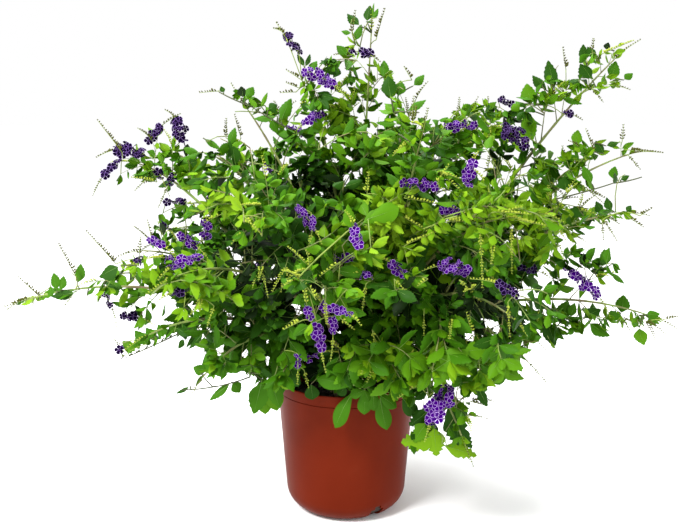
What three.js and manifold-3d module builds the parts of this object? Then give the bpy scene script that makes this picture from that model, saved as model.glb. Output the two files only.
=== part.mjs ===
// A duranta, a flowering shrub, in a round nursery pot. Millimetres, +Z up.
// The origin is the middle of the pot's flat underside. +X is the viewer's right, and +Y runs away
// from the viewer.
// A short trunk forks into seven stems, boughs spring from the stems, and each stem and each bough
// carries one mass of foliage, from the end of its bare wood to its tip.

import * as THREE from "three";
import { mergeVertices } from "three/addons/utils/BufferGeometryUtils.js";
import Module from "manifold-3d";

const wasm = await Module();
wasm.setup();

// The gap between two pieces that touch.
const GAP = 0.3;

// Corners closer than this are one corner.
const SAME_CORNER = 1e-4;

// The pot: a tapered plastic tub with a band round its rim, a groove under the band, a rounded foot edge
// and drain slots cut through that edge.
const POT = {
  rimRadius: 127,
  footRadius: 107,
  height: 246,
  wall: 2.6,
  floor: 3,
  lip: 2,
  bandHeight: 19,
  bandProud: 1.4,
  grooveHeight: 2.4,
  grooveDepth: 1.2,
  footRound: 40,
  sides: 32,
};
const DRAIN = { count: 3, firstHeading: 302, width: 26, height: 30, depth: 26 };

// The potting mix, a little higher round the trunk than at the wall.
const SOIL = { edge: 206, crown: 212, flatRadius: 40 };

// The trunk: a stump with a lobed flare, and the distance from its axis at which its stems start.
const TRUNK = {
  height: 58,
  topRadius: 19,
  flareRadius: 28,
  lobes: 5,
  lobeDepth: 0.16,
  leanX: 3,
  fork: 9,
  sides: 10,
  ringShares: [0, 0.12, 0.3, 0.55, 1],
};

// The wood. start and end are radii, and bare is the share of the whole line that carries no foliage. A
// leader is the rest of that line, and tested is in how many stretches it is split to measure from it.
const STEM = { start: 8, end: 5.4, bare: 0.28, sides: 5, steps: 5 };
const BOUGH = { start: 5, end: 4, bare: 0.2, sides: 4, steps: 4 };
const LEADER = { start: 4, end: 2.2, sides: 3, steps: 5, tested: 8 };

// The stems, each with the boughs that spring from it.
// tip: the furthest point of its last leaf, as a bearing in degrees (0 right, 90 back, 180 left, 270 front),
// a distance from the pot's axis and a height above the ground.
// arch: how far the middle of the line is lifted. spread: the length of its longest side twigs.
// blooms: how many of its last twigs end in flowers.
// at: where a bough springs from its stem, as a share of the stem's bare wood.
const STEMS = [
  {
    name: "left_spray",
    tip: [189, 402, 490],
    arch: 110,
    spread: 135,
    blooms: 4,
    boughs: [
      { name: "left_long", at: 0.62, tip: [183, 614, 381], arch: 110, spread: 115, blooms: 1 },
      { name: "left_low", at: 0.4, tip: [200, 398, 338], arch: 90, spread: 115, blooms: 2 },
      { name: "left_upper", at: 0.85, tip: [172, 424, 640], arch: 105, spread: 150, blooms: 4 },
    ],
  },
  {
    name: "right_spray",
    tip: [357, 536, 554],
    arch: 125,
    spread: 140,
    blooms: 2,
    boughs: [
      { name: "right_long", at: 0.55, tip: [354, 584, 356], arch: 95, spread: 130, blooms: 2 },
      { name: "right_upper", at: 0.8, tip: [9, 570, 655], arch: 85, spread: 130, blooms: 1 },
      { name: "right_high", at: 0.85, tip: [12, 535, 846], arch: 55, spread: 110, blooms: 2 },
    ],
  },
  {
    name: "top_spire",
    tip: [24, 50, 905],
    arch: 0,
    spread: 120,
    blooms: 2,
    boughs: [
      { name: "top_left_spire", at: 0.7, tip: [177, 66, 806], arch: 20, spread: 130, blooms: 4 },
      { name: "top_left", at: 0.45, tip: [163, 212, 762], arch: 60, spread: 130, blooms: 1 },
      { name: "top_right", at: 0.85, tip: [10, 142, 785], arch: 50, spread: 120, blooms: 1 },
    ],
  },
  {
    name: "front_left_upper",
    tip: [246, 360, 612],
    arch: 120,
    spread: 150,
    blooms: 2,
    boughs: [
      { name: "front_left_mid", at: 0.7, tip: [222, 405, 470], arch: 100, spread: 140, blooms: 3 },
      { name: "front_left_skirt", at: 0.3, tip: [215, 325, 265], arch: 125, spread: 170, blooms: 0 },
      { name: "front_mid", at: 0.85, tip: [265, 375, 440], arch: 110, spread: 135, blooms: 4 },
    ],
  },
  {
    name: "front_right_upper",
    tip: [312, 400, 585],
    arch: 130,
    spread: 155,
    blooms: 4,
    boughs: [
      { name: "front_top", at: 0.85, tip: [300, 245, 728], arch: 40, spread: 145, blooms: 2 },
      { name: "front_right_mid", at: 0.65, tip: [314, 405, 400], arch: 110, spread: 165, blooms: 2 },
      { name: "front_right_skirt", at: 0.45, tip: [334, 372, 285], arch: 130, spread: 170, blooms: 0 },
      { name: "front_right_low", at: 0.22, tip: [311, 308, 172], arch: 165, spread: 165, blooms: 2 },
    ],
  },
  {
    name: "back_left_upper",
    tip: [128, 370, 640],
    arch: 120,
    spread: 155,
    blooms: 3,
    boughs: [
      { name: "back_left_mid", at: 0.62, tip: [148, 440, 475], arch: 105, spread: 145, blooms: 3 },
      { name: "back_left_skirt", at: 0.3, tip: [124, 360, 320], arch: 100, spread: 130, blooms: 1 },
    ],
  },
  {
    name: "back_right_upper",
    tip: [42, 445, 712],
    arch: 140,
    spread: 165,
    blooms: 3,
    boughs: [
      { name: "back_right_mid", at: 0.7, tip: [18, 500, 470], arch: 110, spread: 150, blooms: 2 },
      { name: "back_mid", at: 0.5, tip: [88, 415, 460], arch: 110, spread: 145, blooms: 3 },
      { name: "back_right_skirt", at: 0.25, tip: [52, 365, 310], arch: 100, spread: 125, blooms: 1 },
    ],
  },
];

// Side twigs: one every gap along a leader, each turned round it by the golden angle from the last, shorter
// towards the tip, and lifted a little by the light. start and end are its radii, as shares of the leader's
// where it springs. before and after are the bare lengths at the leader's ends, in gaps. A twig that would
// leave its mass's space is tried shorter, and testFrom and testSteps are where it is tested.
// Plays are the most that chance adds or takes away.
const TWIG = {
  start: 0.6,
  end: 0.42,
  sides: 3,
  steps: 1,
  gap: 64,
  before: 0.6,
  after: 0.3,
  turn: 137.5,
  turnPlay: 20,
  pitch: 54,
  pitchPlay: 9,
  shortening: 0.62,
  reachPlay: 0.2,
  rise: 0.16,
  tries: [1, 0.7, 0.45],
  testFrom: 0.1,
  testSteps: 6,
};

// Leaves stand in pairs, one pair every gap along a twig, with every second pair turned. They are largest at
// the foot of a shoot and smallest at its tip, and the higher tapering is, the later they shrink. One that
// does not fit is tried again at the next of sizes, and overlap is the volume that two of them may share.
// stalk is the thickness of the stalk end, and sunk is how far it goes past the middle of its twig. The edges
// hang below the ridge by fold, and the point by droop.
// A twig's leaves start at twigShare of its length, a leader's at leaderShare, and both end at lastAt.
const LEAF = {
  largest: 150,
  smallest: 46,
  sizes: [1, 0.74],
  tapering: 1.6,
  lengthPlay: 0.12,
  widthShare: 0.6,
  widestShare: 0.55,
  stalk: 0.6,
  sunk: 0.4,
  fold: 2.8,
  droop: 4,
  gap: 58,
  before: 0.5,
  after: 0.25,
  pitch: 52,
  turns: [60, 120],
  lastAt: 0.98,
  twigShare: 0.25,
  leaderShare: 0.2,
  overlap: 5,
};
const FACING = { up: 0.5, outward: 0.9, play: 0.3 };

// A flower spike: a nodding spindle that runs out in a thin tail of buds. It is sunk in the end of its twig,
// from rootAt on. Each ring is [share of its length, share of its radius].
const SPIKE = {
  rootAt: 0.96,
  length: 50,
  tail: 12,
  radius: 14,
  nod: 0.35,
  sides: 3,
  rings: [
    [0, 0.15],
    [0.2, 0.9],
    [0.5, 0.8],
    [1, 0.1],
  ],
};

// The space round each leader is its own: every point of a mass is nearer, by own, to its own leader than to
// any other. Leaves and twigs also keep clear of wood, of the pot's wall and rim, and of the ground.
const CLEAR = { own: 3.5, leaf: 1.6, twig: 4.8, rim: 5, wall: 10, ground: 96 };

// The first shoot's seed. Each next shoot has the next one, and each twig has one made from its shoot's.
const SEED = { first: 41, perShoot: 100, leader: 99 };

const UP = new THREE.Vector3(0, 0, 1);
const radians = THREE.MathUtils.degToRad;
const lerp = THREE.MathUtils.lerp;

// A small seeded number source, so that the shrub grows the same way each time.
const NUMBERS = { scatter: 2654435761, factor: 1664525, step: 1013904223, range: 2 ** 32 };
function seededRandom(seed) {
  let state = Math.imul(seed, NUMBERS.scatter) >>> 0;
  return () => {
    state = (Math.imul(state, NUMBERS.factor) + NUMBERS.step) >>> 0;
    return state / NUMBERS.range;
  };
}

// A number between -most and +most.
function playOf(random, most) {
  return most * (2 * random() - 1);
}

// Solids and geometries

function solidOf(geometry) {
  const bare = new THREE.BufferGeometry().setAttribute("position", geometry.getAttribute("position"));
  if (geometry.index) bare.setIndex(geometry.index);
  const merged = mergeVertices(bare, SAME_CORNER);
  const triangles = [];
  for (let i = 0; i < merged.index.count; i += 3) {
    const [a, b, c] = [0, 1, 2].map((k) => merged.index.getX(i + k));
    if (a !== b && b !== c && c !== a) triangles.push(a, b, c);
  }
  return new wasm.Manifold(
    new wasm.Mesh({
      numProp: 3,
      vertProperties: merged.attributes.position.array,
      triVerts: new Uint32Array(triangles),
    }),
  );
}

function geometryOf(solid) {
  const mesh = solid.getMesh();
  const geometry = new THREE.BufferGeometry();
  geometry.setAttribute("position", new THREE.BufferAttribute(mesh.vertProperties, 3));
  geometry.setIndex(new THREE.BufferAttribute(mesh.triVerts, 1));
  const faceted = geometry.toNonIndexed();
  faceted.computeVertexNormals();
  return faceted;
}

// Fusing can leave loose scraps and seal small hollows: only the largest outer skin is kept.
function largestBody(solid) {
  return solid.decompose().reduce((best, body) => (body.volume() > best.volume() ? body : best));
}

function faces(points, triangles) {
  const geometry = new THREE.BufferGeometry().setFromPoints(points);
  geometry.setIndex(triangles.flat());
  return geometry;
}

function ringOf(centre, across, third, radius, sides) {
  return Array.from({ length: sides }, (_, k) => {
    const angle = (2 * Math.PI * k) / sides;
    const aside = across.clone().multiplyScalar(radius * Math.cos(angle));
    return aside.addScaledVector(third, radius * Math.sin(angle)).add(centre);
  });
}

// A closed skin over a row of rings that all have the same number of points, with a flat cap at each end.
function loft(rings) {
  const sides = rings[0].length;
  const triangles = [];
  for (let r = 0; r + 1 < rings.length; r++) {
    for (let i = 0; i < sides; i++) {
      const j = (i + 1) % sides;
      const [a, b, c, d] = [r * sides + i, r * sides + j, (r + 1) * sides + i, (r + 1) * sides + j];
      triangles.push([a, b, d], [a, d, c]);
    }
  }
  const last = (rings.length - 1) * sides;
  for (let i = 1; i + 1 < sides; i++) {
    triangles.push([0, i + 1, i], [last, last + i, last + i + 1]);
  }
  return faces(rings.flat(), triangles);
}

// A place on a curve that something can spring from: the point, the way on, and two directions across it.
function stationOn(curve, at) {
  const along = curve.getTangent(at);
  const side = new THREE.Vector3().crossVectors(along, UP).normalize();
  return { root: curve.getPoint(at), along, side, lift: new THREE.Vector3().crossVectors(side, along) };
}

// A tapering limb along a stretch of a curve. swell adds to its radii, and clear moves its first ring on
// along the curve, so that it starts that far from the wood that carries it.
function taperedLimb(curve, size, { from = 0, to = 1, swell = 0, clear = 0 } = {}) {
  const rings = Array.from({ length: size.steps + 1 }, (_, i) => {
    const share = i / size.steps;
    const { root, along, side, lift } = stationOn(curve, lerp(from, to, share));
    const point = root.addScaledVector(along, i === 0 ? clear : 0);
    return ringOf(point, side, lift.negate(), lerp(size.start, size.end, share) + swell, size.sides);
  });
  return solidOf(loft(rings));
}

function pointsAlong(curve, from, to, steps) {
  return Array.from({ length: steps + 1 }, (_, i) => curve.getPoint(lerp(from, to, i / steps)));
}

// Pot and potting mix

function wallRadius(height) {
  return lerp(POT.footRadius, POT.rimRadius, height / POT.height);
}

// The rounded foot, as points from the underside out and up to the wall. inset moves it in for the inner
// face.
function footCurve(inset, bottom, turns) {
  const radius = POT.footRound - inset;
  const centreHeight = bottom + radius;
  const centreRadius = wallRadius(centreHeight) - inset - radius;
  return turns.map((degrees) => {
    const angle = radians(degrees);
    const out = centreRadius + radius * Math.sin(angle);
    return new THREE.Vector2(out, centreHeight - radius * Math.cos(angle));
  });
}

function turned(profile) {
  return solidOf(new THREE.LatheGeometry(profile, POT.sides).rotateX(Math.PI / 2));
}

function potSolid() {
  const bandFoot = POT.height - POT.bandHeight;
  const grooveFoot = bandFoot - POT.grooveHeight;
  const outer = [
    new THREE.Vector2(0, 0),
    ...footCurve(0, 0, [0, 30, 60, 90]),
    new THREE.Vector2(wallRadius(grooveFoot), grooveFoot),
    new THREE.Vector2(wallRadius(bandFoot) - POT.grooveDepth, bandFoot - POT.grooveHeight / 2),
    new THREE.Vector2(wallRadius(bandFoot) + POT.bandProud, bandFoot),
    new THREE.Vector2(POT.rimRadius, POT.height - POT.lip),
    new THREE.Vector2(POT.rimRadius - POT.lip / 2, POT.height),
  ];
  const inner = [
    new THREE.Vector2(POT.rimRadius - POT.wall, POT.height),
    ...footCurve(POT.wall, POT.floor, [90, 45, 0]),
    new THREE.Vector2(0, POT.floor),
  ];
  let pot = turned([...outer, ...inner]);
  for (let i = 0; i < DRAIN.count; i++) {
    const heading = radians(DRAIN.firstHeading + (360 / DRAIN.count) * i);
    const slot = new THREE.BoxGeometry(DRAIN.depth, DRAIN.width, DRAIN.height * 2);
    slot.translate(POT.footRadius - POT.wall * 2, 0, 0).rotateZ(heading);
    pot = pot.subtract(solidOf(slot));
  }
  return pot;
}

function soilSolid() {
  const bottom = POT.floor + GAP;
  const edge = wallRadius(SOIL.edge) - POT.wall - GAP;
  return turned([
    new THREE.Vector2(0, bottom),
    ...footCurve(POT.wall + GAP, bottom, [0, 45, 90]),
    new THREE.Vector2(edge, SOIL.edge),
    new THREE.Vector2(SOIL.flatRadius, SOIL.crown),
    new THREE.Vector2(0, SOIL.crown),
  ]);
}

// The trunk, cut flat where it meets the potting mix. Its flare dies out upwards, and its lobes with it.
function trunkSolid(swell = 0) {
  const rings = TRUNK.ringShares.map((share) => {
    const flare = (1 - share) ** 3;
    const radius = lerp(TRUNK.topRadius, TRUNK.flareRadius, flare) + swell;
    const height = SOIL.crown + GAP + share * (TRUNK.height + swell);
    return Array.from({ length: TRUNK.sides }, (_, i) => {
      const angle = (2 * Math.PI * i) / TRUNK.sides;
      const lobed = radius * (1 + TRUNK.lobeDepth * flare * Math.cos(TRUNK.lobes * angle));
      const x = TRUNK.leanX * share + lobed * Math.cos(angle);
      return new THREE.Vector3(x, lobed * Math.sin(angle), height);
    });
  });
  return solidOf(loft(rings));
}

// Shoots: the line of each stem and bough, from what it springs from to its tip

const trunkHead = new THREE.Vector3(TRUNK.leanX, 0, SOIL.crown + TRUNK.height - STEM.start * 2);

function shootFrom(foot, wood, prefix, row) {
  const [bearing, reach, height] = row.tip;
  const heading = radians(bearing);
  const furthest = new THREE.Vector3(reach * Math.cos(heading), reach * Math.sin(heading), height);
  const bend = foot.clone().lerp(furthest, 0.5).addScaledVector(UP, row.arch);
  const lastLeaf = furthest.clone().sub(bend).setLength(LEAF.smallest);
  const tip = furthest.clone().sub(lastLeaf);
  const curve = new THREE.QuadraticBezierCurve3(foot, bend, tip);
  const leader = pointsAlong(curve, wood.bare, 1, LEADER.tested);
  return { ...row, wood, limbName: `${prefix}_${row.name}`, curve, leader };
}

const shoots = STEMS.flatMap((row) => {
  const heading = radians(row.tip[0]);
  const outward = new THREE.Vector3(Math.cos(heading), Math.sin(heading), 0);
  const stem = shootFrom(trunkHead.clone().addScaledVector(outward, TRUNK.fork), STEM, "stem", row);
  const boughs = row.boughs.map((bough) => {
    return shootFrom(stem.curve.getPoint(STEM.bare * bough.at), BOUGH, "bough", bough);
  });
  return [stem, ...boughs];
});
shoots.forEach((shoot, index) => {
  shoot.seed = SEED.first + index;
});

// Where foliage may be

function distanceToLine(point, line) {
  const nearest = new THREE.Vector3();
  const segment = new THREE.Line3();
  let best = Infinity;
  for (let i = 0; i + 1 < line.length; i++) {
    segment.set(line[i], line[i + 1]).closestPointToPoint(point, true, nearest);
    best = Math.min(best, nearest.distanceTo(point));
  }
  return best;
}

function isInOwnSpace(point, shoot) {
  const limit = distanceToLine(point, shoot.leader) + CLEAR.own;
  return shoots.every((other) => other === shoot || distanceToLine(point, other.leader) > limit);
}

function isClearOfPot(point) {
  const out = Math.hypot(point.x, point.y);
  const isAbove = point.z > POT.height + CLEAR.rim;
  return point.z > CLEAR.ground && (isAbove || out > wallRadius(point.z) + CLEAR.wall);
}

function mayGrowAt(point, shoot) {
  return isClearOfPot(point) && isInOwnSpace(point, shoot);
}

// Beads along all bare wood and along every leader. A mass keeps clear of all but those of its own leader.
const BEADS = { onWood: 36, onLeader: 60 };
const beads = shoots.flatMap((shoot) => {
  const wood = pointsAlong(shoot.curve, 0, shoot.wood.bare, BEADS.onWood).map((point, i) => {
    return { point, radius: lerp(shoot.wood.start, shoot.wood.end, i / BEADS.onWood), owner: null };
  });
  const leader = pointsAlong(shoot.curve, shoot.wood.bare, 1, BEADS.onLeader).map((point) => {
    return { point, radius: LEADER.start, owner: shoot };
  });
  return [...wood, ...leader];
});

function isClearOfBeads(shoot, touches) {
  return beads.every((bead) => bead.owner === shoot || !touches(bead));
}

// A leaf: a thin blade of eight faces, folded down along its middle, with its stalk end sunk in its twig

// A point on a blade, given along its length, across it and out from its face.
function bladePoint(leaf, forward, aside, lift) {
  const point = leaf.root.clone().addScaledVector(leaf.along, forward);
  return point.addScaledVector(leaf.across, aside).addScaledVector(leaf.face, lift);
}

function leafSolid(leaf) {
  const half = LEAF.stalk / 2;
  const edge = lerp(half, -LEAF.droop, LEAF.widestShare) - LEAF.fold;
  const points = [
    bladePoint(leaf, -LEAF.sunk, half, -half),
    bladePoint(leaf, -LEAF.sunk, -half, -half),
    bladePoint(leaf, -LEAF.sunk, 0, half),
    bladePoint(leaf, leaf.length * LEAF.widestShare, leaf.width / 2, edge),
    bladePoint(leaf, leaf.length * LEAF.widestShare, -leaf.width / 2, edge),
    bladePoint(leaf, leaf.length, 0, -LEAF.droop),
  ];
  const triangles = [
    [0, 1, 2],
    [0, 4, 1],
    [0, 3, 4],
    [3, 5, 4],
    [2, 3, 0],
    [2, 5, 3],
    [2, 4, 5],
    [2, 1, 4],
  ];
  return solidOf(faces(points, triangles));
}

// Points on a blade's outline, each [share of its length, share of its width], that show whether it stays in
// its space: the widest place, the middles of the edges on both sides of it, and the point.
const OUTLINE = [
  [LEAF.widestShare / 2, 0.25],
  [LEAF.widestShare, 0.5],
  [(1 + LEAF.widestShare) / 2, 0.25],
  [1, 0],
];

function leafOutline(leaf) {
  return OUTLINE.flatMap(([forward, aside]) => {
    return [1, -1].map((hand) => {
      return bladePoint(leaf, forward * leaf.length, hand * aside * leaf.width, -LEAF.droop * forward);
    });
  });
}

function leafTouchesBead(leaf, bead) {
  const from = new THREE.Vector3().subVectors(bead.point, leaf.root);
  const forward = from.dot(leaf.along);
  const isBeside = forward > -bead.radius && forward < leaf.length + bead.radius + CLEAR.leaf;
  const isLevel = Math.abs(from.dot(leaf.face)) < bead.radius + LEAF.droop + LEAF.fold;
  const isOver = Math.abs(from.dot(leaf.across)) < leaf.width / 2 + bead.radius + CLEAR.leaf;
  return isBeside && isLevel && isOver;
}

function leafFits(leaf, shoot) {
  const isInside = leafOutline(leaf).every((point) => mayGrowAt(point, shoot));
  return isInside && isClearOfBeads(shoot, (bead) => leafTouchesBead(leaf, bead));
}

// A blade faces up and away from the middle of the crown, as far as its own direction allows. share is how
// far towards the tip of its shoot it stands.
function leafAt(root, along, share, random) {
  const outward = new THREE.Vector3(root.x, root.y, 0).normalize().multiplyScalar(FACING.outward);
  const play = new THREE.Vector3(...[0, 1, 2].map(() => playOf(random, FACING.play)));
  const face = UP.clone().multiplyScalar(FACING.up).add(outward).add(play);
  face.addScaledVector(along, -face.dot(along)).normalize();
  const usual = lerp(LEAF.largest, LEAF.smallest, share ** LEAF.tapering);
  const length = usual * (1 + playOf(random, LEAF.lengthPlay));
  const across = new THREE.Vector3().crossVectors(face, along);
  return { root, along, face, across, length, width: length * LEAF.widthShare };
}

// How a shoot branches

// A place on the middle line of a leader as it is built, from one ring to the next in straight steps.
function stationOnLeader(shoot, at) {
  const { bare } = shoot.wood;
  const step = ((at - bare) / (1 - bare)) * LEADER.steps;
  const ringPoint = (ring) => shoot.curve.getPoint(lerp(bare, 1, ring / LEADER.steps));
  const before = Math.min(Math.floor(step), LEADER.steps - 1);
  const root = ringPoint(before).lerp(ringPoint(before + 1), step - before);
  return { ...stationOn(shoot.curve, at), root };
}

// The direction that leans off a station's own by pitch, on the side given by roll.
function leaning({ along, side, lift }, pitch, roll) {
  const outward = side.clone().multiplyScalar(Math.cos(roll)).addScaledVector(lift, Math.sin(roll));
  return along.clone().multiplyScalar(Math.cos(pitch)).addScaledVector(outward, Math.sin(pitch));
}

function twigsOf(shoot) {
  const random = seededRandom(shoot.seed);
  const count = Math.round((shoot.curve.getLength() * (1 - shoot.wood.bare)) / TWIG.gap);
  return Array.from({ length: count }, (_, k) => {
    const share = (k + TWIG.before) / (count + TWIG.after);
    const station = stationOnLeader(shoot, lerp(shoot.wood.bare, 1, share));
    const roll = radians(TWIG.turn * k + playOf(random, TWIG.turnPlay));
    const pitch = radians(TWIG.pitch + playOf(random, TWIG.pitchPlay));
    const reach = shoot.spread * (1 - TWIG.shortening * share) * (1 + playOf(random, TWIG.reachPlay));
    const whole = leaning(station, pitch, roll).addScaledVector(UP, TWIG.rise).multiplyScalar(reach);
    const lines = TWIG.tries.map((part) => {
      return new THREE.LineCurve3(station.root, station.root.clone().addScaledVector(whole, part));
    });
    const girth = lerp(LEADER.start, LEADER.end, share);
    return { lines, share, girth, seed: shoot.seed * SEED.perShoot + k };
  });
}

function twigFits(line, shoot) {
  const touches = (point) => (bead) => bead.point.distanceTo(point) < bead.radius + CLEAR.twig;
  return pointsAlong(line, TWIG.testFrom, 1, TWIG.testSteps).every((point) => {
    return mayGrowAt(point, shoot) && isClearOfBeads(shoot, touches(point));
  });
}

// The pairs of leaves on the part of a line after from, and one at its tip. shares is how far towards the tip
// of the shoot that part starts and ends.
function leavesOf(stationAt, { length, from, seed, shares, hasTipLeaf }) {
  const random = seededRandom(seed);
  const pairs = Math.max(1, Math.round((length * (1 - from)) / LEAF.gap));
  const leaves = [];
  for (let i = 0; i < pairs; i++) {
    const part = (i + LEAF.before) / (pairs + LEAF.after);
    const station = stationAt(lerp(from, 1, part));
    const roll = radians(LEAF.turns[i % 2]);
    for (const hand of [1, -1]) {
      const along = leaning(station, hand * radians(LEAF.pitch), roll);
      leaves.push(leafAt(station.root, along, lerp(...shares, part), random));
    }
  }
  const last = stationAt(LEAF.lastAt);
  if (hasTipLeaf) leaves.push(leafAt(last.root, last.along, shares[1], random));
  return leaves;
}

// A flower spike at the end of a twig, with the points of its middle line.
function spikeOn(curve) {
  const station = stationOn(curve, 1);
  const root = curve.getPoint(SPIKE.rootAt);
  const bend = root.clone().addScaledVector(station.along, SPIKE.length / 2);
  const nodding = station.along.clone().addScaledVector(UP, -SPIKE.nod).normalize();
  const end = bend.clone().addScaledVector(nodding, SPIKE.length / 2 + SPIKE.tail);
  const line = new THREE.QuadraticBezierCurve3(root, bend, end);
  const middles = SPIKE.rings.map(([at]) => line.getPoint(at));
  const third = station.lift.clone().negate();
  const rings = SPIKE.rings.map(([, girth], i) => {
    return ringOf(middles[i], station.side, third, girth * SPIKE.radius, SPIKE.sides);
  });
  return { solid: solidOf(loft(rings)), middles: middles.slice(1) };
}

// The blades of these leaves, each at the first size that fits, without those that would cross another blade
// or an earlier mass.
function addBlades(blades, leaves, shoot, earlierMasses) {
  for (const leaf of leaves) {
    const sizes = LEAF.sizes.map((size) => {
      return { ...leaf, length: leaf.length * size, width: leaf.width * size };
    });
    const fitting = sizes.find((each) => leafFits(each, shoot));
    if (!fitting) continue;
    const blade = leafSolid(fitting);
    const crossesLeaf = blades.some((other) => blade.intersect(other).volume() > LEAF.overlap);
    const crossesMass = earlierMasses.some((other) => !blade.intersect(other).isEmpty());
    if (!crossesLeaf && !crossesMass) blades.push(blade);
  }
}

// A mass of foliage: the leader, its side twigs, their leaves and flower spikes, fused. What would leave the
// space of its mass or touch a limb is skipped.
function massSolid(shoot, earlierMasses) {
  const pieces = [taperedLimb(shoot.curve, LEADER, { from: shoot.wood.bare, clear: GAP })];
  const blades = [];
  const twigs = twigsOf(shoot);
  twigs.forEach(({ lines, share, girth, seed }, k) => {
    const line = lines.find((each) => twigFits(each, shoot));
    if (!line) return;
    pieces.push(taperedLimb(line, { ...TWIG, start: TWIG.start * girth, end: TWIG.end * girth }));
    const hasBloom = k >= twigs.length - shoot.blooms;
    const spike = hasBloom ? spikeOn(line) : null;
    if (spike?.middles.every((point) => mayGrowAt(point, shoot))) pieces.push(spike.solid);
    const leaves = leavesOf((at) => stationOn(line, at), {
      length: line.getLength(),
      from: LEAF.twigShare,
      seed,
      shares: [share, (share + 1) / 2],
      hasTipLeaf: !hasBloom,
    });
    addBlades(blades, leaves, shoot, earlierMasses);
  });
  const leaderLeaves = leavesOf((at) => stationOnLeader(shoot, at), {
    length: shoot.curve.getLength(),
    from: lerp(shoot.wood.bare, 1, LEAF.leaderShare),
    seed: shoot.seed * SEED.perShoot + SEED.leader,
    shares: [LEAF.leaderShare, 1],
    hasTipLeaf: true,
  });
  addBlades(blades, leaderLeaves, shoot, earlierMasses);
  return wasm.Manifold.union([...pieces, ...blades]);
}

// The finished shrub

const MATERIALS = {
  plastic: new THREE.MeshStandardMaterial({ color: 0x8e3a22, roughness: 0.42, metalness: 0 }),
  mix: new THREE.MeshStandardMaterial({ color: 0x2b211b, roughness: 0.95, metalness: 0 }),
  bark: new THREE.MeshStandardMaterial({ color: 0x8a7658, roughness: 0.85, metalness: 0 }),
  foliage: new THREE.MeshStandardMaterial({ color: 0x3f8a1c, roughness: 0.5, metalness: 0 }),
};

const shrub = new THREE.Group();
function place(name, solid, material) {
  const mesh = new THREE.Mesh(geometryOf(solid), material);
  mesh.name = name;
  shrub.add(mesh);
}

place("pot", potSolid(), MATERIALS.plastic);
place("potting_mix", soilSolid(), MATERIALS.mix);

place("trunk", trunkSolid(), MATERIALS.bark);

// Each limb is cut clear of the wood that was placed before it, and so of the limb that carries it.
let swollenWood = trunkSolid(GAP);
for (const { limbName, curve, wood } of shoots) {
  const limb = taperedLimb(curve, wood, { to: wood.bare }).subtract(swollenWood);
  place(limbName, largestBody(limb), MATERIALS.bark);
  swollenWood = swollenWood.add(taperedLimb(curve, wood, { to: wood.bare, swell: GAP }));
}

const masses = [];
for (const shoot of shoots) {
  const mass = largestBody(massSolid(shoot, masses).subtract(swollenWood));
  place(`foliage_${shoot.name}`, mass, MATERIALS.foliage);
  masses.push(mass);
}

export default shrub;
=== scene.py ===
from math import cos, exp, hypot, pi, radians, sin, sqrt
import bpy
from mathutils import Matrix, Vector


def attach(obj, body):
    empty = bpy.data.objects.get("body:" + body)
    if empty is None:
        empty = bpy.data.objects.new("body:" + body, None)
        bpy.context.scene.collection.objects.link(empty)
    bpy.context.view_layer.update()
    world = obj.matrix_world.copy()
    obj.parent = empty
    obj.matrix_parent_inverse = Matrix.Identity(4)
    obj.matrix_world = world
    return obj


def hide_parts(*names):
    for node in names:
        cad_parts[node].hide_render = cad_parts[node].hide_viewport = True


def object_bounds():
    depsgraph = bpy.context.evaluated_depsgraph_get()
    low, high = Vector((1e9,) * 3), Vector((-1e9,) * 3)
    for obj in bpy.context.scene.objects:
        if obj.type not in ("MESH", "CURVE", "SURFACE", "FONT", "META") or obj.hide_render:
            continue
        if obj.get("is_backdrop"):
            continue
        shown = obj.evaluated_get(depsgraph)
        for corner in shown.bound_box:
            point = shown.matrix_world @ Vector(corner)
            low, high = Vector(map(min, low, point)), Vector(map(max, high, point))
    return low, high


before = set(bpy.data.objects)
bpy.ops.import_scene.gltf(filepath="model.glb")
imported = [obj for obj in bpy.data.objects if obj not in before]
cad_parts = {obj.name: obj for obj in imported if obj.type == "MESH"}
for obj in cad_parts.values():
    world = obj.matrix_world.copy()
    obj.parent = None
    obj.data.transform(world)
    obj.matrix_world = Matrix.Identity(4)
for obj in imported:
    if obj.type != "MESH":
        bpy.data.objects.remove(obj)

# %% [markdown]
# # A duranta shrub in a nursery pot
#
# The plant is a flowering shrub about 1.2 m wide in a plastic pot. The measured solids that were just
# loaded say where every limb and every mass of foliage is. This script dresses them: it grows fine
# wood, leaves and flowers on the same lines, and it turns a smooth pot in place of the faceted one.
#
# First come the modules and the box of the measured model, which the dressed plant must keep to.

# %% Modules and the measured box
from types import SimpleNamespace

import bmesh
import bpy
import numpy as np
from mathutils import Matrix, Vector, noise

cad_low, cad_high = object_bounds()
MM = 0.001
UP = Vector((0, 0, 1))
scene = bpy.context.scene
low_corner, high_corner = [[round(v, 3) for v in corner] for corner in (cad_low, cad_high)]
print(len(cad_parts), "solids, in a box from", low_corner, "to", high_corner)

# %% [markdown]
# ## The camera
#
# A round rim seen at an angle is an ellipse, and how flat the ellipses of the rim and of the foot are
# gives the height and the tilt of the camera. The pot's rim is 254 mm across, which sets the distance.
# A camera in Blender looks along its own -Z, so one that looks level is turned by 90 degrees about X,
# and this one by 11.08 degrees less.

# %% Camera
PICTURE_WIDTH, PICTURE_HEIGHT = 679, 522
FOCAL_PIXELS = 964
SENSOR_MM = 36
CAMERA_AT = Vector((-0.012, -1.700, 0.792))
CAMERA_DOWN = radians(11.08)

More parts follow.
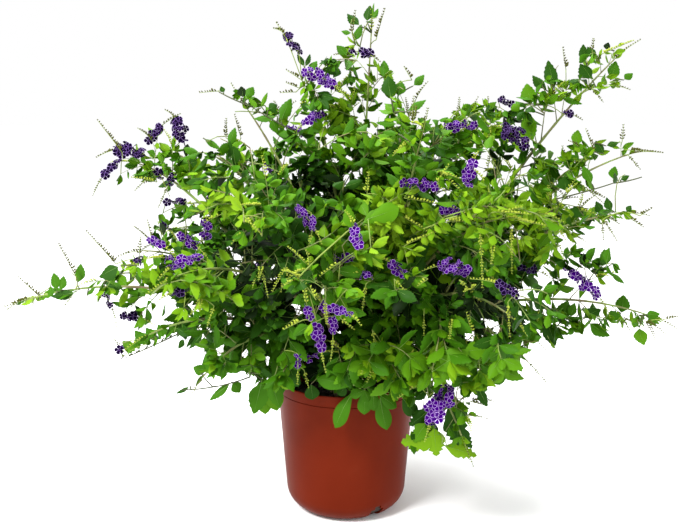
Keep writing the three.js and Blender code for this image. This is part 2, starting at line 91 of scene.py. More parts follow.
camera_data = bpy.data.cameras.new("camera")
camera_data.sensor_width = SENSOR_MM
camera_data.lens = FOCAL_PIXELS / PICTURE_WIDTH * SENSOR_MM
camera_data.clip_start = 0.05
camera = bpy.data.objects.new("camera", camera_data)
camera.location = CAMERA_AT
camera.rotation_euler = (pi / 2 - CAMERA_DOWN, 0, 0)
scene.collection.objects.link(camera)
bpy.context.scene.camera = camera
print("lens", round(camera_data.lens, 2), "mm")

# %% [markdown]
# Flowers and bright shoots are placed where the photograph shows them, so the script needs the way
# from a place in space to a place in the picture, counted from its upper left corner, and the way
# back. A point's share of the picture is its distance from the camera's axis, divided by its depth.

# %% From space to the picture
LOOK = Vector((0, cos(CAMERA_DOWN), -sin(CAMERA_DOWN)))
LOOK_UP = Vector((0, sin(CAMERA_DOWN), cos(CAMERA_DOWN)))


def in_picture(point):
    """The pixel at which the camera sees a point, and how deep the point lies."""
    away = Vector(point) - CAMERA_AT
    depth = away.dot(LOOK)
    across = PICTURE_WIDTH / 2 + FOCAL_PIXELS * away.x / depth
    down = PICTURE_HEIGHT / 2 - FOCAL_PIXELS * away.dot(LOOK_UP) / depth
    return across, down, depth


def at_pixel(across, down, depth):
    """The point that the camera sees at a pixel, at a depth."""
    right = (across - PICTURE_WIDTH / 2) / FOCAL_PIXELS
    lift = (PICTURE_HEIGHT / 2 - down) / FOCAL_PIXELS
    return CAMERA_AT + (LOOK + Vector((right, 0, 0)) + LOOK_UP * lift) * depth


print("the plant's top is seen at", [round(v) for v in in_picture((0, 0, cad_high[2]))[:2]])

# %% [markdown]
# ## Light
#
# The photograph has a plain white ground and soft light from the left and from above. A white world
# gives the even part of that light. One large lamp on the upper left is the main light, a weaker one
# on the right opens the shadows, and a third from above and behind makes the top leaves glow. A lamp
# shines along its own -Z, so each is turned until that axis points at its target.

# %% World and lamps
scene.view_settings.view_transform = "Standard"
world = bpy.data.worlds.new("studio")
world.use_nodes = True
background = world.node_tree.nodes["Background"]
background.inputs["Color"].default_value = (1, 1, 1, 1)
background.inputs["Strength"].default_value = 1.0
scene.world = world

# name, place, target, width in metres, power in watts
LAMPS = [
    ("key", (-1.5, -1.7, 2.5), (0, 0, 0.5), 0.9, 132),
    ("fill", (2.2, -1.6, 1.4), (0, 0, 0.5), 1.4, 11),
    ("top", (0.2, 0.5, 2.6), (0, 0, 0.6), 1.2, 75),
]
for name, place, target, width, watts in LAMPS:
    light = bpy.data.lights.new(name, "AREA")
    light.size = width
    light.energy = watts
    lamp = bpy.data.objects.new(name, light)
    lamp.location = place
    lamp.rotation_euler = (Vector(target) - Vector(place)).to_track_quat("-Z", "Y").to_euler()
    scene.collection.objects.link(lamp)
print(len(LAMPS), "lamps")

# %% [markdown]
# ## How the finishes are made
#
# Each finish is one Principled shader with a few nodes in front of it. Noise stands for what is uneven
# on a real surface: it moves the colour between a few stops, the shine between two values, or the
# surface itself by bump. Its coordinates are the object's own, so it keeps its size in metres.

# %% Colours and nodes


def plain_colour(red, green, blue):
    """Screen values from 0 to 255 as the linear colour that a shader takes."""
    shares = [v / 255 for v in (red, green, blue)]
    linear = [s / 12.92 if s <= 0.04045 else ((s + 0.055) / 1.055) ** 2.4 for s in shares]
    return (*linear, 1)


def new_material(name, colour, roughness):
    """A material with one Principled shader, and short ways to its parts."""
    material = bpy.data.materials.new(name)
    material.use_nodes = True
    tree = material.node_tree
    shader = tree.nodes["Principled BSDF"]
    shader.inputs["Base Color"].default_value = colour
    shader.inputs["Roughness"].default_value = roughness
    return material, tree, shader


def noise_node(tree, scale, detail=4, roughness=0.55, stretch=None):
    """Noise measured in metres on the object itself, stretched by a scale for each axis if one is given."""
    place = tree.nodes.new("ShaderNodeTexCoord")
    cloud = tree.nodes.new("ShaderNodeTexNoise")
    cloud.inputs["Scale"].default_value = scale
    cloud.inputs["Detail"].default_value = detail
    cloud.inputs["Roughness"].default_value = roughness
    way = place.outputs["Object"]
    if stretch:
        mapping = tree.nodes.new("ShaderNodeMapping")
        mapping.inputs["Scale"].default_value = stretch
        tree.links.new(way, mapping.inputs["Vector"])
        way = mapping.outputs["Vector"]
    tree.links.new(way, cloud.inputs["Vector"])
    return cloud


def bump(tree, shader, cloud, strength, distance):
    node = tree.nodes.new("ShaderNodeBump")
    node.inputs["Strength"].default_value = strength
    node.inputs["Distance"].default_value = distance
    tree.links.new(cloud.outputs["Fac"], node.inputs["Height"])
    tree.links.new(node.outputs["Normal"], shader.inputs["Normal"])


def varied_roughness(tree, shader, cloud, low, high):
    spread = tree.nodes.new("ShaderNodeMapRange")
    spread.inputs["To Min"].default_value = low
    spread.inputs["To Max"].default_value = high
    tree.links.new(cloud.outputs["Fac"], spread.inputs["Value"])
    tree.links.new(spread.outputs["Result"], shader.inputs["Roughness"])


def varied_colour(tree, shader, cloud, stops):
    """Moves the colour with the noise: each stop is a place on the noise and screen values."""
    ramp = tree.nodes.new("ShaderNodeValToRGB")
    elements = ramp.color_ramp.elements
    while len(elements) < len(stops):
        elements.new(0.5)
    for element, (place, colour) in zip(elements, stops):
        element.position = place
        element.color = plain_colour(*colour)
    tree.links.new(cloud.outputs["Fac"], ramp.inputs["Fac"])
    tree.links.new(ramp.outputs["Color"], shader.inputs["Base Color"])


print("middle green in linear values", [round(v, 3) for v in plain_colour(80, 115, 37)[:3]])

# %% [markdown]
# ## Floor
#
# The floor is one big pale disc under the pot, so that no edge of it is seen. It is made by bmesh, the
# part of Blender that builds a mesh step by step. It is a stage and no piece of the plant.

# %% Floor
FLOOR_RADIUS = 14


def object_of(form, name):
    """Makes an object of a bmesh form, and frees the form."""
    mesh = bpy.data.meshes.new(name)
    form.to_mesh(mesh)
    form.free()
    made = bpy.data.objects.new(name, mesh)
    scene.collection.objects.link(made)
    return made


floor_form = bmesh.new()
bmesh.ops.create_circle(floor_form, cap_ends=True, radius=FLOOR_RADIUS, segments=96)
floor = object_of(floor_form, "floor")
floor_material, floor_tree, floor_shader = new_material("floor", (1, 1, 1, 1), 0.7)
floor_shader.inputs["Specular IOR Level"].default_value = 0.0
varied_roughness(floor_tree, floor_shader, noise_node(floor_tree, 3), 0.62, 0.78)
floor.data.materials.append(floor_material)
floor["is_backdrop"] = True
print("floor", 2 * FLOOR_RADIUS, "m across")

# %% [markdown]
# ## Meshes from piles of points
#
# A crown has thousands of leaves. Making an object for each would be slow, so each kind of thing is
# gathered as plain arrays of points and faces, and one object is made of the whole pile at the end.
# Twigs and stalks are tubes: rings of points round a line, with faces between the rings.

# %% A pile of points and faces, and a tube


class Pile:
    """Points and faces of many small forms, which become one object."""

    def __init__(self):
        self.points = []
        self.faces = []
        self.count = 0

    def add(self, points, faces):
        self.points.append(np.asarray(points, float).reshape(-1, 3))
        self.faces.extend([tuple(i + self.count for i in face) for face in faces])
        self.count += len(self.points[-1])

    def add_many(self, points, faces):
        """The same faces on many sets of points: points is an array of sets by points by 3."""
        sets, each, _ = points.shape
        self.points.append(points.reshape(-1, 3))
        for size in sorted({len(face) for face in faces}):
            rows = np.array([face for face in faces if len(face) == size])
            starts = self.count + each * np.arange(sets)[:, None, None]
            self.faces.extend(map(tuple, (rows[None] + starts).reshape(-1, size).tolist()))
        self.count += sets * each

    def make(self, name, material, smooth=True):
        mesh = bpy.data.meshes.new(name)
        mesh.from_pydata(np.concatenate(self.points).tolist(), [], self.faces)
        mesh.materials.append(material)
        mesh.polygons.foreach_set("use_smooth", [smooth] * len(mesh.polygons))
        mesh.update()
        made = bpy.data.objects.new(name, mesh)
        scene.collection.objects.link(made)
        print(name, sum(len(face) - 2 for face in self.faces), "triangles")
        return made


def ring_faces(rings, sides):
    """The faces between rings of points that are listed one after the other."""
    steps = [(r * sides, k, (k + 1) % sides) for r in range(rings - 1) for k in range(sides)]
    return [(low + k, low + j, low + sides + j, low + sides + k) for low, k, j in steps]


def tube(middles, radii, sides):
    """Rings of points round a line of middles, and the faces between them, closed at both ends."""
    middles = [Vector(m) for m in middles]
    points = []
    side = None
    for i, middle in enumerate(middles):
        along = (middles[min(i + 1, len(middles) - 1)] - middles[max(i - 1, 0)]).normalized()
        if side is None:
            side = along.cross(UP if abs(along.z) < 0.95 else Vector((1, 0, 0)))
        side = (side - along * side.dot(along)).normalized()
        third = along.cross(side)
        angles = [2 * pi * k / sides for k in range(sides)]
        points += [tuple(middle + (side * cos(a) + third * sin(a)) * radii[i]) for a in angles]
    top = (len(middles) - 1) * sides
    ends = [tuple(reversed(range(sides))), tuple(range(top, top + sides))]
    return points, ring_faces(len(middles), sides) + ends


print("a twig's tube has", len(tube([(0, 0, i) for i in range(5)], [1] * 5, 4)[1]), "faces")

# %% [markdown]
# ## Chance with a seed, and curves
#
# Chance is taken from a small number source with a seed, because a plant that grew anew on each run
# couldn't be compared with its photograph. Every limb, twig and stalk follows a curve with one handle,
# which is enough for an arch. A station is a place on a curve that something springs from.

# %% Numbers, curves and stations


def numbers_from(seed):
    """A source of numbers from 0 to 1 that gives the same row for the same seed."""
    state = (seed * 2654435761) % 2**32
    while True:
        state = (state * 1664525 + 1013904223) % 2**32
        yield state / 2**32


def play(numbers, most):
    """A number between -most and most."""
    return most * (2 * next(numbers) - 1)


def play_each_way(numbers, most):
    return Vector([play(numbers, most) for _ in range(3)])


def mix(a, b, share):
    return a + (b - a) * share


class Curve:
    """A line bent by one middle handle."""

    def __init__(self, start, bend, end):
        self.start, self.bend, self.end = Vector(start), Vector(bend), Vector(end)

    def point(self, t):
        return self.start * (1 - t) ** 2 + self.bend * (2 * t * (1 - t)) + self.end * t**2

    def along(self, t):
        way = (self.bend - self.start) * (1 - t) + (self.end - self.bend) * t
        return way.normalized()

    def points(self, parts):
        return [self.point(i / parts) for i in range(parts + 1)]

    def length(self):
        points = self.points(12)
        return sum((b - a).length for a, b in zip(points, points[1:]))


def arching(start, end, rise):
    """A curve whose handle is so many millimetres above the middle of its ends, or below if negative."""
    return Curve(start, start.lerp(end, 0.5) + UP * rise * MM, end)


def tube_on(curve, radii, sides):
    """A tube along a curve, with a radius in millimetres at each of its even stations."""
    return tube(curve.points(len(radii) - 1), [radius * MM for radius in radii], sides)


def station(curve, t):
    """A place that something springs from: the point, the way on and two ways across."""
    along = curve.along(t)
    side = along.cross(UP)
    side = side.normalized() if side.length > 1e-4 else Vector((1, 0, 0))
    return SimpleNamespace(root=curve.point(t), along=along, side=side, lift=side.cross(along))


def leaning(place, pitch, roll):
    """The way that leans off a station's own by pitch, on the side that roll gives."""
    outward = place.side * cos(roll) + place.lift * sin(roll)
    return place.along * cos(pitch) + outward * sin(pitch)


first_numbers = numbers_from(1)
print("seed 1 begins", [round(next(first_numbers), 3) for _ in range(3)])

# %% [markdown]
# ## How the shrub branches
#
# This is the rule of the measured model, written again. A short trunk forks into stems, boughs spring
# from the stems, and each of them runs on as a leader with side twigs. A table gives each shoot the
# bearing, the distance and the height of its tip, how far its middle is lifted, how long its longest
# side twigs are, and how many of its last twigs bloom.

# %% The pot's sizes and the table of shoots
POT_HEIGHT = 246 * MM
POT_RIM = 127 * MM
POT_FOOT = 107 * MM
SOIL_CROWN = 212 * MM
SOIL_EDGE = 206 * MM
TRUNK_HEIGHT = 58 * MM
TRUNK_LEAN = 3 * MM
TRUNK_FORK = 9 * MM
STEM = SimpleNamespace(start=8 * MM, end=5.4 * MM, bare=0.28)
BOUGH = SimpleNamespace(start=5 * MM, end=4 * MM, bare=0.2)
LEADER = SimpleNamespace(start=3.6 * MM, end=1.2 * MM)
LAST_LEAF = 46 * MM
FIRST_SEED = 41

# name, at, bearing, reach, height, arch, spread, blooms. A row with no at is a stem, and the rows
# after it are its boughs. Lengths are in millimetres.
SHOOTS = [
    ("left_spray", None, 189, 402, 490, 110, 135, 4),
    ("left_long", 0.62, 183, 614, 381, 110, 115, 1),
    ("left_low", 0.4, 200, 398, 338, 90, 115, 2),
    ("left_upper", 0.85, 172, 424, 640, 105, 150, 4),
    ("right_spray", None, 357, 536, 554, 125, 140, 2),
    ("right_long", 0.55, 354, 584, 356, 95, 130, 2),
    ("right_upper", 0.8, 9, 570, 655, 85, 130, 1),
    ("right_high", 0.85, 12, 535, 846, 55, 110, 2),
    ("top_spire", None, 24, 50, 905, 0, 120, 2),
    ("top_left_spire", 0.7, 177, 66, 806, 20, 130, 4),
    ("top_left", 0.45, 163, 212, 762, 60, 130, 1),
    ("top_right", 0.85, 10, 142, 785, 50, 120, 1),
    ("front_left_upper", None, 246, 360, 612, 120, 150, 2),
    ("front_left_mid", 0.7, 222, 405, 470, 100, 140, 3),
    ("front_left_skirt", 0.3, 215, 325, 265, 125, 170, 0),
    ("front_mid", 0.85, 265, 375, 440, 110, 135, 4),
    ("front_right_upper", None, 312, 400, 585, 130, 155, 4),
    ("front_top", 0.85, 300, 245, 728, 40, 145, 2),
    ("front_right_mid", 0.65, 314, 405, 400, 110, 165, 2),
    ("front_right_skirt", 0.45, 334, 372, 285, 130, 170, 0),
    ("front_right_low", 0.22, 311, 308, 172, 165, 165, 2),
    ("back_left_upper", None, 128, 370, 640, 120, 155, 3),
    ("back_left_mid", 0.62, 148, 440, 475, 105, 145, 3),
    ("back_left_skirt", 0.3, 124, 360, 320, 100, 130, 1),
    ("back_right_upper", None, 42, 445, 712, 140, 165, 3),
    ("back_right_mid", 0.7, 18, 500, 470, 110, 150, 2),
    ("back_mid", 0.5, 88, 415, 460, 110, 145, 3),
    ("back_right_skirt", 0.25, 52, 365, 310, 100, 125, 1),
]
print(len(SHOOTS), "shoots,", sum(row[1] is None for row in SHOOTS), "of them stems")

# %% [markdown]
# A stem leaves the trunk's fork on its own bearing. A bough leaves its stem at a share of the bare
# wood, which is where the measured model has its foot.

# %% Stems and boughs


def shoot_from(foot, row, wood, seed):
    name, at, bearing, reach, height, arch, spread, blooms = row
    heading = radians(bearing)
    furthest = Vector((reach * cos(heading), reach * sin(heading), height)) * MM
    bend = foot.lerp(furthest, 0.5) + UP * arch * MM
    tip = furthest - (furthest - bend).normalized() * LAST_LEAF
    limb = ("stem_" if at is None else "bough_") + name
    return SimpleNamespace(
        name=name, curve=Curve(foot, bend, tip), wood=wood, limb=limb, seed=seed,
        spread=spread * MM, blooms=blooms,
    )


TRUNK_HEAD = Vector((TRUNK_LEAN, 0, SOIL_CROWN + TRUNK_HEIGHT - STEM.start * 2))
shoots = []
for index, row in enumerate(SHOOTS):
    if row[1] is None:
        heading = radians(row[2])
        foot = TRUNK_HEAD + Vector((cos(heading), sin(heading), 0)) * TRUNK_FORK
        stem = shoot_from(foot, row, STEM, FIRST_SEED + index)
        shoots.append(stem)
    else:
        foot = stem.curve.point(STEM.bare * row[1])
        shoots.append(shoot_from(foot, row, BOUGH, FIRST_SEED + index))
print(round(sum(s.curve.length() for s in shoots), 1), "m of main wood")

# %% [markdown]
# ## Where nothing may grow
#
# Twigs and leaves keep off the pot's wall and off the ground. They also keep inside the crown's outline
# as the photograph shows it, read off as pixels from the left of the rim round to its right, so
# that the crown keeps the bays between its sprays. A point is inside when a ray from it to the right
# crosses the outline an odd number of times.

# %% Pot, ground and outline
GROUND_CLEAR = 96 * MM
POT_CLEAR = 9 * MM
CROWN_OUTLINE = [
    (281, 398), (270, 408), (254, 408), (250, 392), (257, 380), (246, 374), (238, 368), (228, 369),
    (225, 378), (194, 376), (204, 362), (201, 343), (184, 334), (150, 344), (120, 354), (119, 342),
    (140, 328), (126, 320), (126, 306), (110, 300), (60, 297), (40, 299), (0, 306), (0, 300), (40, 294),
    (60, 287), (100, 280), (112, 260), (146, 258), (148, 240), (158, 214), (168, 206), (204, 200),
    (206, 192), (172, 186), (132, 190), (104, 182), (106, 160), (146, 126), (184, 120), (192, 150),
    (210, 152), (226, 146), (237, 134), (248, 148), (280, 146), (272, 118), (218, 92), (222, 86),
    (250, 92), (296, 116), (300, 80), (306, 66), (276, 26), (284, 24), (316, 60), (344, 54), (352, 30),
    (362, 8), (378, 4), (362, 44), (384, 66), (402, 84), (404, 108), (412, 122), (440, 117), (480, 101),
    (515, 97), (540, 80), (560, 72), (590, 56), (636, 36), (640, 44), (590, 76), (634, 70), (636, 80),
    (565, 100), (546, 106), (534, 114), (534, 128), (542, 144), (566, 146), (592, 138), (618, 138),
    (668, 147), (668, 151), (612, 151), (594, 160), (570, 172), (590, 178), (626, 176), (626, 184),
    (568, 190), (566, 206), (600, 208), (644, 211), (644, 216), (606, 220), (590, 226), (576, 236),
    (574, 244), (592, 250), (612, 252), (626, 270), (606, 290), (584, 290), (562, 286), (552, 294),
    (553, 306), (610, 311), (676, 314), (670, 322), (612, 326), (600, 334), (564, 332), (558, 346),
    (549, 346), (544, 334), (530, 344), (520, 372), (490, 384), (474, 400), (474, 452), (410, 452),
    (412, 410),
]


def wall_radius(height):
    return mix(POT_FOOT, POT_RIM, min(max(height, 0), POT_HEIGHT) / POT_HEIGHT)


def is_clear_of_pot(point):
    is_above = point[2] > POT_HEIGHT + POT_CLEAR
    is_beside = hypot(point[0], point[1]) > wall_radius(point[2]) + POT_CLEAR
    return point[2] > GROUND_CLEAR and (is_above or is_beside)


def is_inside_outline(point):
    x, y, _ = in_picture(point)
    crossings = 0
    for (x0, y0), (x1, y1) in zip(CROWN_OUTLINE, CROWN_OUTLINE[1:] + CROWN_OUTLINE[:1]):
        if (y0 > y) != (y1 > y) and x < x0 + (y - y0) * (x1 - x0) / (y1 - y0):
            crossings += 1
    return crossings % 2 == 1


print(sum(is_inside_outline(s.curve.end) for s in shoots), "shoots end inside the outline")

# %% [markdown]
# ## Twigs
#
# Each leader carries a twig at every place where the measured model has one, and more between them,
# because real side shoots stand only a few centimetres apart. Every twig is turned round its leader
# by the golden angle from the last, which spaces them evenly for the light. The longer twigs carry
# twiglets of their own. A twig bends a little towards the light where it starts and nods at its tip,
# and one that would leave the outline or touch the pot is tried again shorter.

# %% One twig
LIGHT_LIFT = 0.16
RISE, RISE_PLAY = 0.06, 0.05
NOD, NOD_PLAY = 0.06, 0.08
SHORTER = (1, 0.7, 0.45)
twigs = []


def bowed(root, whole, numbers):
    """A twig's curve: it starts along whole, and its tip nods a little."""
    reach = whole.length
    end = root + whole - UP * reach * (NOD + NOD_PLAY * next(numbers))
    bend = root + whole * 0.5 + UP * reach * (RISE + RISE_PLAY * next(numbers))
    return Curve(root, bend, end)


def fitting_curve(root, whole, numbers):
    for part in SHORTER:
        curve = bowed(root, whole * part, numbers)
        if all(is_clear_of_pot(curve.point(t)) for t in (0.3, 0.6, 1)) and is_inside_outline(curve.end):
            return curve
    return None


def add_twig(curve, girth, level, share, seed, blooms=False):
    """Keeps a twig: its level is 1 on a leader and 2 on a twig, its share how far out it stands."""
    row = {"curve": curve, "girth": girth, "level": level, "share": share, "seed": seed, "blooms": blooms}
    twigs.append(SimpleNamespace(**row))


print("a twig nods by up to", round(100 * (NOD + NOD_PLAY)), "% of its reach")

# %% Grow the twigs
TWIG_GAP = 64 * MM
BETWEEN = 2
EXTRA = 100
GOLDEN_TURN = 137.5
TWIG_PITCH, TWIGLET_PITCH = 54, 50
SHORTENING = 0.62
EXTRA_START, EXTRA_SHORTENING = 0.86, 0.6
TWIGLET_GAP = 34 * MM
TWIGLET_REACH = 0.5
TWIGLET_GIRTH = 0.62
LEAST_TWIG = 24 * MM


def twig_places(shoot, count):
    """Where the measured model has its twigs: the station, roll, pitch, reach, share and number of each."""
    numbers = numbers_from(shoot.seed)
    for k in range(count):
        share = (k + 0.6) / (count + 0.3)
        place = station(shoot.curve, mix(shoot.wood.bare, 1, share))
        roll = radians(GOLDEN_TURN * k + play(numbers, 20))
        pitch = radians(TWIG_PITCH + play(numbers, 9))
        reach = shoot.spread * (1 - SHORTENING * share) * (1 + play(numbers, 0.2))
        yield place, roll, pitch, reach, share, k


def places_between(shoot, count):
    """The same for the twigs between them, which play more freely."""
    numbers = numbers_from(shoot.seed * 7 + 3)
    for k in range(count):
        share = (k + 0.4 + 0.4 * next(numbers)) / (count + 0.2)
        place = station(shoot.curve, mix(shoot.wood.bare, 1, share))
        roll = radians(GOLDEN_TURN * (k + 0.5) + play(numbers, 30))
        pitch = radians(TWIG_PITCH + 4 + play(numbers, 14))
        reach = shoot.spread * (EXTRA_START - EXTRA_SHORTENING * share) * (1 + play(numbers, 0.25))
        yield place, roll, pitch, reach, share, EXTRA + k


def add_twiglets(curve, girth, share, seed, numbers):
    length = curve.length()
    for j in range(int((length - LEAST_TWIG) / TWIGLET_GAP)):
        at = (j + 0.8) * TWIGLET_GAP / length
        place = station(curve, at)
        roll = radians(GOLDEN_TURN * j + 70 + play(numbers, 40))
        pitch = radians(TWIGLET_PITCH + play(numbers, 10))
        reach = max(LEAST_TWIG, TWIGLET_REACH * length * (1 - at) * (1 + play(numbers, 0.3)))
        small = fitting_curve(place.root, (leaning(place, pitch, roll) + UP * LIGHT_LIFT) * reach, numbers)
        if small is not None:
            add_twig(small, girth * TWIGLET_GIRTH, 2, mix(share, 1, 0.3 + 0.4 * at), seed * 10 + j)


for shoot in shoots:
    count = round(shoot.curve.length() * (1 - shoot.wood.bare) / TWIG_GAP)
    places = [*twig_places(shoot, count), *places_between(shoot, count * BETWEEN)]
    for place, roll, pitch, reach, share, k in places:
        seed = shoot.seed * 1000 + k
        numbers = numbers_from(seed)
        curve = fitting_curve(place.root, (leaning(place, pitch, roll) + UP * LIGHT_LIFT) * reach, numbers)
        if curve is None:
            continue
        girth = mix(LEADER.start, LEADER.end, share) * 0.5
        add_twig(curve, girth, 1, share, seed, blooms=count - shoot.blooms <= k < EXTRA)
        add_twiglets(curve, girth, share, seed, numbers)
print(len(twigs), "twigs,", sum(t.level == 2 for t in twigs), "of them twiglets")

# %% [markdown]
# The bare wood carries a few leafy twigs too. They make the dark heart of the crown, through which the
# sky would shine otherwise.

# %% Twigs on the bare wood
INNER_GAP = 26 * MM
INNER_REACH = 105 * MM
INNER_PITCH = 62
INNER_GIRTH = 1.6 * MM
for shoot in shoots:
    numbers = numbers_from(shoot.seed * 17 + 1)
    count = round(shoot.curve.length() * shoot.wood.bare / INNER_GAP)
    for k in range(count):
        place = station(shoot.curve, shoot.wood.bare * (k + 0.8) / (count + 0.5))
        roll = radians(GOLDEN_TURN * k + play(numbers, 40))
        pitch = radians(INNER_PITCH + play(numbers, 14))
        whole = leaning(place, pitch, roll) * INNER_REACH * (1 + play(numbers, 0.25))
        curve = fitting_curve(place.root, whole, numbers)
        if curve is not None:
            add_twig(curve, INNER_GIRTH, 1, 0.0, shoot.seed * 1000 + 500 + k)
print(len(twigs), "twigs with those of the bare wood")

# %% [markdown]
# ## Where the flowers hang
#
# The clusters of flowers in the photograph are read off it: the pixel of each middle, how long and
# how wide it is, and which way it slopes. For each, the twig end that is nearest to the line of sight,
# and rather in front than behind, is taken, and its raceme is bent so that its flowers show there. Twigs
# that the rule lets bloom carry more racemes, on the sides that the photograph doesn't show.

# %% Seat the named clusters
# across, down, length and width in pixels, degrees that it slopes down to the right, and whether it is
# one of the dark clusters against the light
CLUSTERS = [
    (292, 43, 24, 15, 55, True), (319, 78, 30, 18, 25, False), (361, 53, 20, 14, 15, True),
    (312, 119, 20, 12, -25, False), (155, 134, 22, 13, -50, True), (179, 130, 24, 18, 70, True),
    (130, 152, 30, 19, 10, True), (112, 168, 26, 9, 135, True), (176, 202, 20, 10, 0, True),
    (206, 230, 18, 12, 90, False), (155, 243, 18, 12, 20, False), (187, 240, 22, 14, 30, False),
    (187, 261, 30, 17, 160, False), (139, 261, 10, 9, 90, True), (306, 218, 28, 18, 50, False),
    (357, 238, 26, 15, 75, False), (343, 259, 22, 10, 0, False), (419, 184, 32, 15, 5, False),
    (470, 174, 26, 14, 105, False), (450, 211, 20, 13, 5, False), (461, 126, 28, 14, 0, False),
    (505, 102, 16, 10, 20, True), (516, 138, 30, 20, 40, True), (567, 114, 11, 11, 10, True),
    (398, 269, 15, 13, 45, False), (368, 276, 13, 9, 20, False), (454, 268, 30, 20, 8, False),
    (508, 290, 22, 10, 35, True), (583, 283, 42, 16, 42, False), (530, 270, 18, 9, 10, True),
    (308, 312, 14, 8, 80, False), (325, 308, 11, 8, 60, False), (341, 311, 18, 12, 20, False),
    (333, 325, 18, 9, 90, False), (319, 336, 20, 16, 80, False), (312, 357, 14, 10, 150, False),
    (298, 361, 14, 9, 90, False), (441, 404, 42, 24, 120, False), (108, 300, 14, 10, 60, True),
    (129, 317, 18, 11, 0, True), (121, 352, 9, 7, 70, True), (180, 293, 12, 8, 0, True),
    (171, 181, 14, 7, 120, True), (160, 175, 10, 6, 60, True), (172, 260, 14, 8, 20, False),
    (164, 226, 9, 6, 30, True),
]
TIP_SEARCH = 75 * MM
DEPTH_HANDICAP = 0.16
NEAR_DEPTH = 1.2
BEFORE_TIP = 0.012
twig_tips = [(t, in_picture(t.curve.end)) for t in twigs]
taken = set()
racemes = []


def nearest_tip(across, down):
    """The free twig whose end is nearest to a line of sight, with a handicap for depth."""
    best, best_cost = None, 1e9
    for twig, (x, y, depth) in twig_tips:
        if id(twig) in taken:
            continue
        aside = hypot(x - across, y - down) * depth / FOCAL_PIXELS
        cost = aside + DEPTH_HANDICAP * (depth - NEAR_DEPTH)
        if aside < TIP_SEARCH and cost < best_cost:
            best, best_cost = twig, cost
    return best


def keep_raceme(twig, middle, length, width, hang, is_dark, named):
    taken.add(id(twig))
    racemes.append(
        SimpleNamespace(
            twig=twig, middle=middle, length=length, width=width, hang=hang.normalized(),
            is_dark=is_dark, seed=twig.seed, named=named, seen=in_picture(middle),
        )
    )


for across, down, length, width, slope, is_dark in CLUSTERS:
    twig = nearest_tip(across, down)
    if twig is None:
        print("no twig near", across, down)
        continue
    depth = in_picture(twig.curve.end)[2] - BEFORE_TIP
    hang = Vector((cos(radians(slope)), 0, 0)) - LOOK_UP * sin(radians(slope)) - LOOK * 0.15
    to_metres = depth / FOCAL_PIXELS
    keep_raceme(
        twig, at_pixel(across, down, depth), length * to_metres, width * to_metres, hang, is_dark, True
    )
print(len(racemes), "clusters at their places")

# %% Clusters on the other sides
HIDDEN_BEHIND = 0.1
CROWN_SEEN = ((360, 240), (185, 120))
OTHER_LENGTH, OTHER_WIDTH = 44 * MM, 24 * MM
for twig in twigs:
    if not twig.blooms or id(twig) in taken:
        continue
    x, y, _ = in_picture(twig.curve.end)
    (middle_x, middle_y), (half_x, half_y) = CROWN_SEEN
    if twig.curve.end.y > HIDDEN_BEHIND and hypot((x - middle_x) / half_x, (y - middle_y) / half_y) < 1:
        along = twig.curve.along(1)
        middle = twig.curve.end + (along * 0.7 - UP * 0.3).normalized() * 30 * MM
        keep_raceme(twig, middle, OTHER_LENGTH, OTHER_WIDTH, along * 0.6 - UP * 0.6, False, False)
print(sum(not raceme.named for raceme in racemes), "more on the other sides")

# %% [markdown]
# ## Leaves
#
# Duranta leaves stand in opposite pairs, each pair turned against the last. A leaf is widest past
# its middle, runs into a narrow stalk, and has a few coarse teeth near its point. It is built from
# twelve stations along its midrib with a point on each edge: 42 triangles that fold down from the
# midrib, droop along it and ripple at the edges. All leaves share these faces, so numpy moves the
# points of thousands of them at once.
#
# Young leaves at the tips are small and lime green, old ones inside are large and darker. The tints
# also hold painted light and shade: the lighter ones partly paint sprays in full light, and the deep
# and dark ones paint the shade inside the crown. A spray has one tint, with a little play from leaf
# to leaf, and each tint is a piece of its own with a plain colour. Each leaf is first written down as
# a row of numbers.

# %% The leaf's outlines, sizes and tints
LEAF_STATIONS = np.array([0.08, 0.18, 0.30, 0.43, 0.53, 0.60, 0.67, 0.73, 0.80, 0.86, 0.92, 1.0])
LEAF_EDGES = np.array([0.04, 0.38, 0.76, 0.98, 1.0, 0.87, 0.90, 0.67, 0.66, 0.38, 0.31, 0.0])
BLUNT_EDGES = np.array([0.16, 0.38, 0.64, 0.86, 0.96, 0.99, 1.0, 0.96, 0.86, 0.70, 0.48, 0.0])
TEETH = np.array([0, 0, 0.02, 0.05, 0.05, -0.10, 0.07, -0.11, 0.10, -0.08, 0.08, 0])
LARGEST_LEAF, SMALLEST_LEAF = 74 * MM, 25 * MM
# From lime to dark: the leaves' own greens, with painted light in the light tints and painted shade in the
# deep and dark ones.
SPRAY_TINTS = {
    "lime": plain_colour(112, 148, 22),
    "light": plain_colour(98, 138, 12),
    "bright": plain_colour(72, 118, 8),
    "green": plain_colour(52, 98, 6),
    "deep": plain_colour(31, 68, 5),
    "dark": plain_colour(13, 31, 3),
}
TINT_NAMES = list(SPRAY_TINTS)
leaf_rows = {name: [] for name in TINT_NAMES}


def keep_leaf(root, along, face, length, width, droop, fold, lightness, numbers, form=0):
    """Writes a leaf's row down with the tint that its lightness calls for. Its form is 1 for a blunt
    leaf with an even edge, 0 for a pointed one and -1 for one with coarse teeth."""
    face = (face - along * face.dot(along)).normalized()
    darkest = len(TINT_NAMES) - 1
    index = min(darkest, max(0, darkest - int(lightness + 0.5)))
    wave, bend = next(numbers) * 2 * pi, play(numbers, 0.14)
    row = (*root, *along, *face, length, width, droop, fold, wave, bend, form)
    leaf_rows[TINT_NAMES[index]].append(row)


print(len(LEAF_STATIONS), "stations in a leaf and", len(SPRAY_TINTS), "tints")
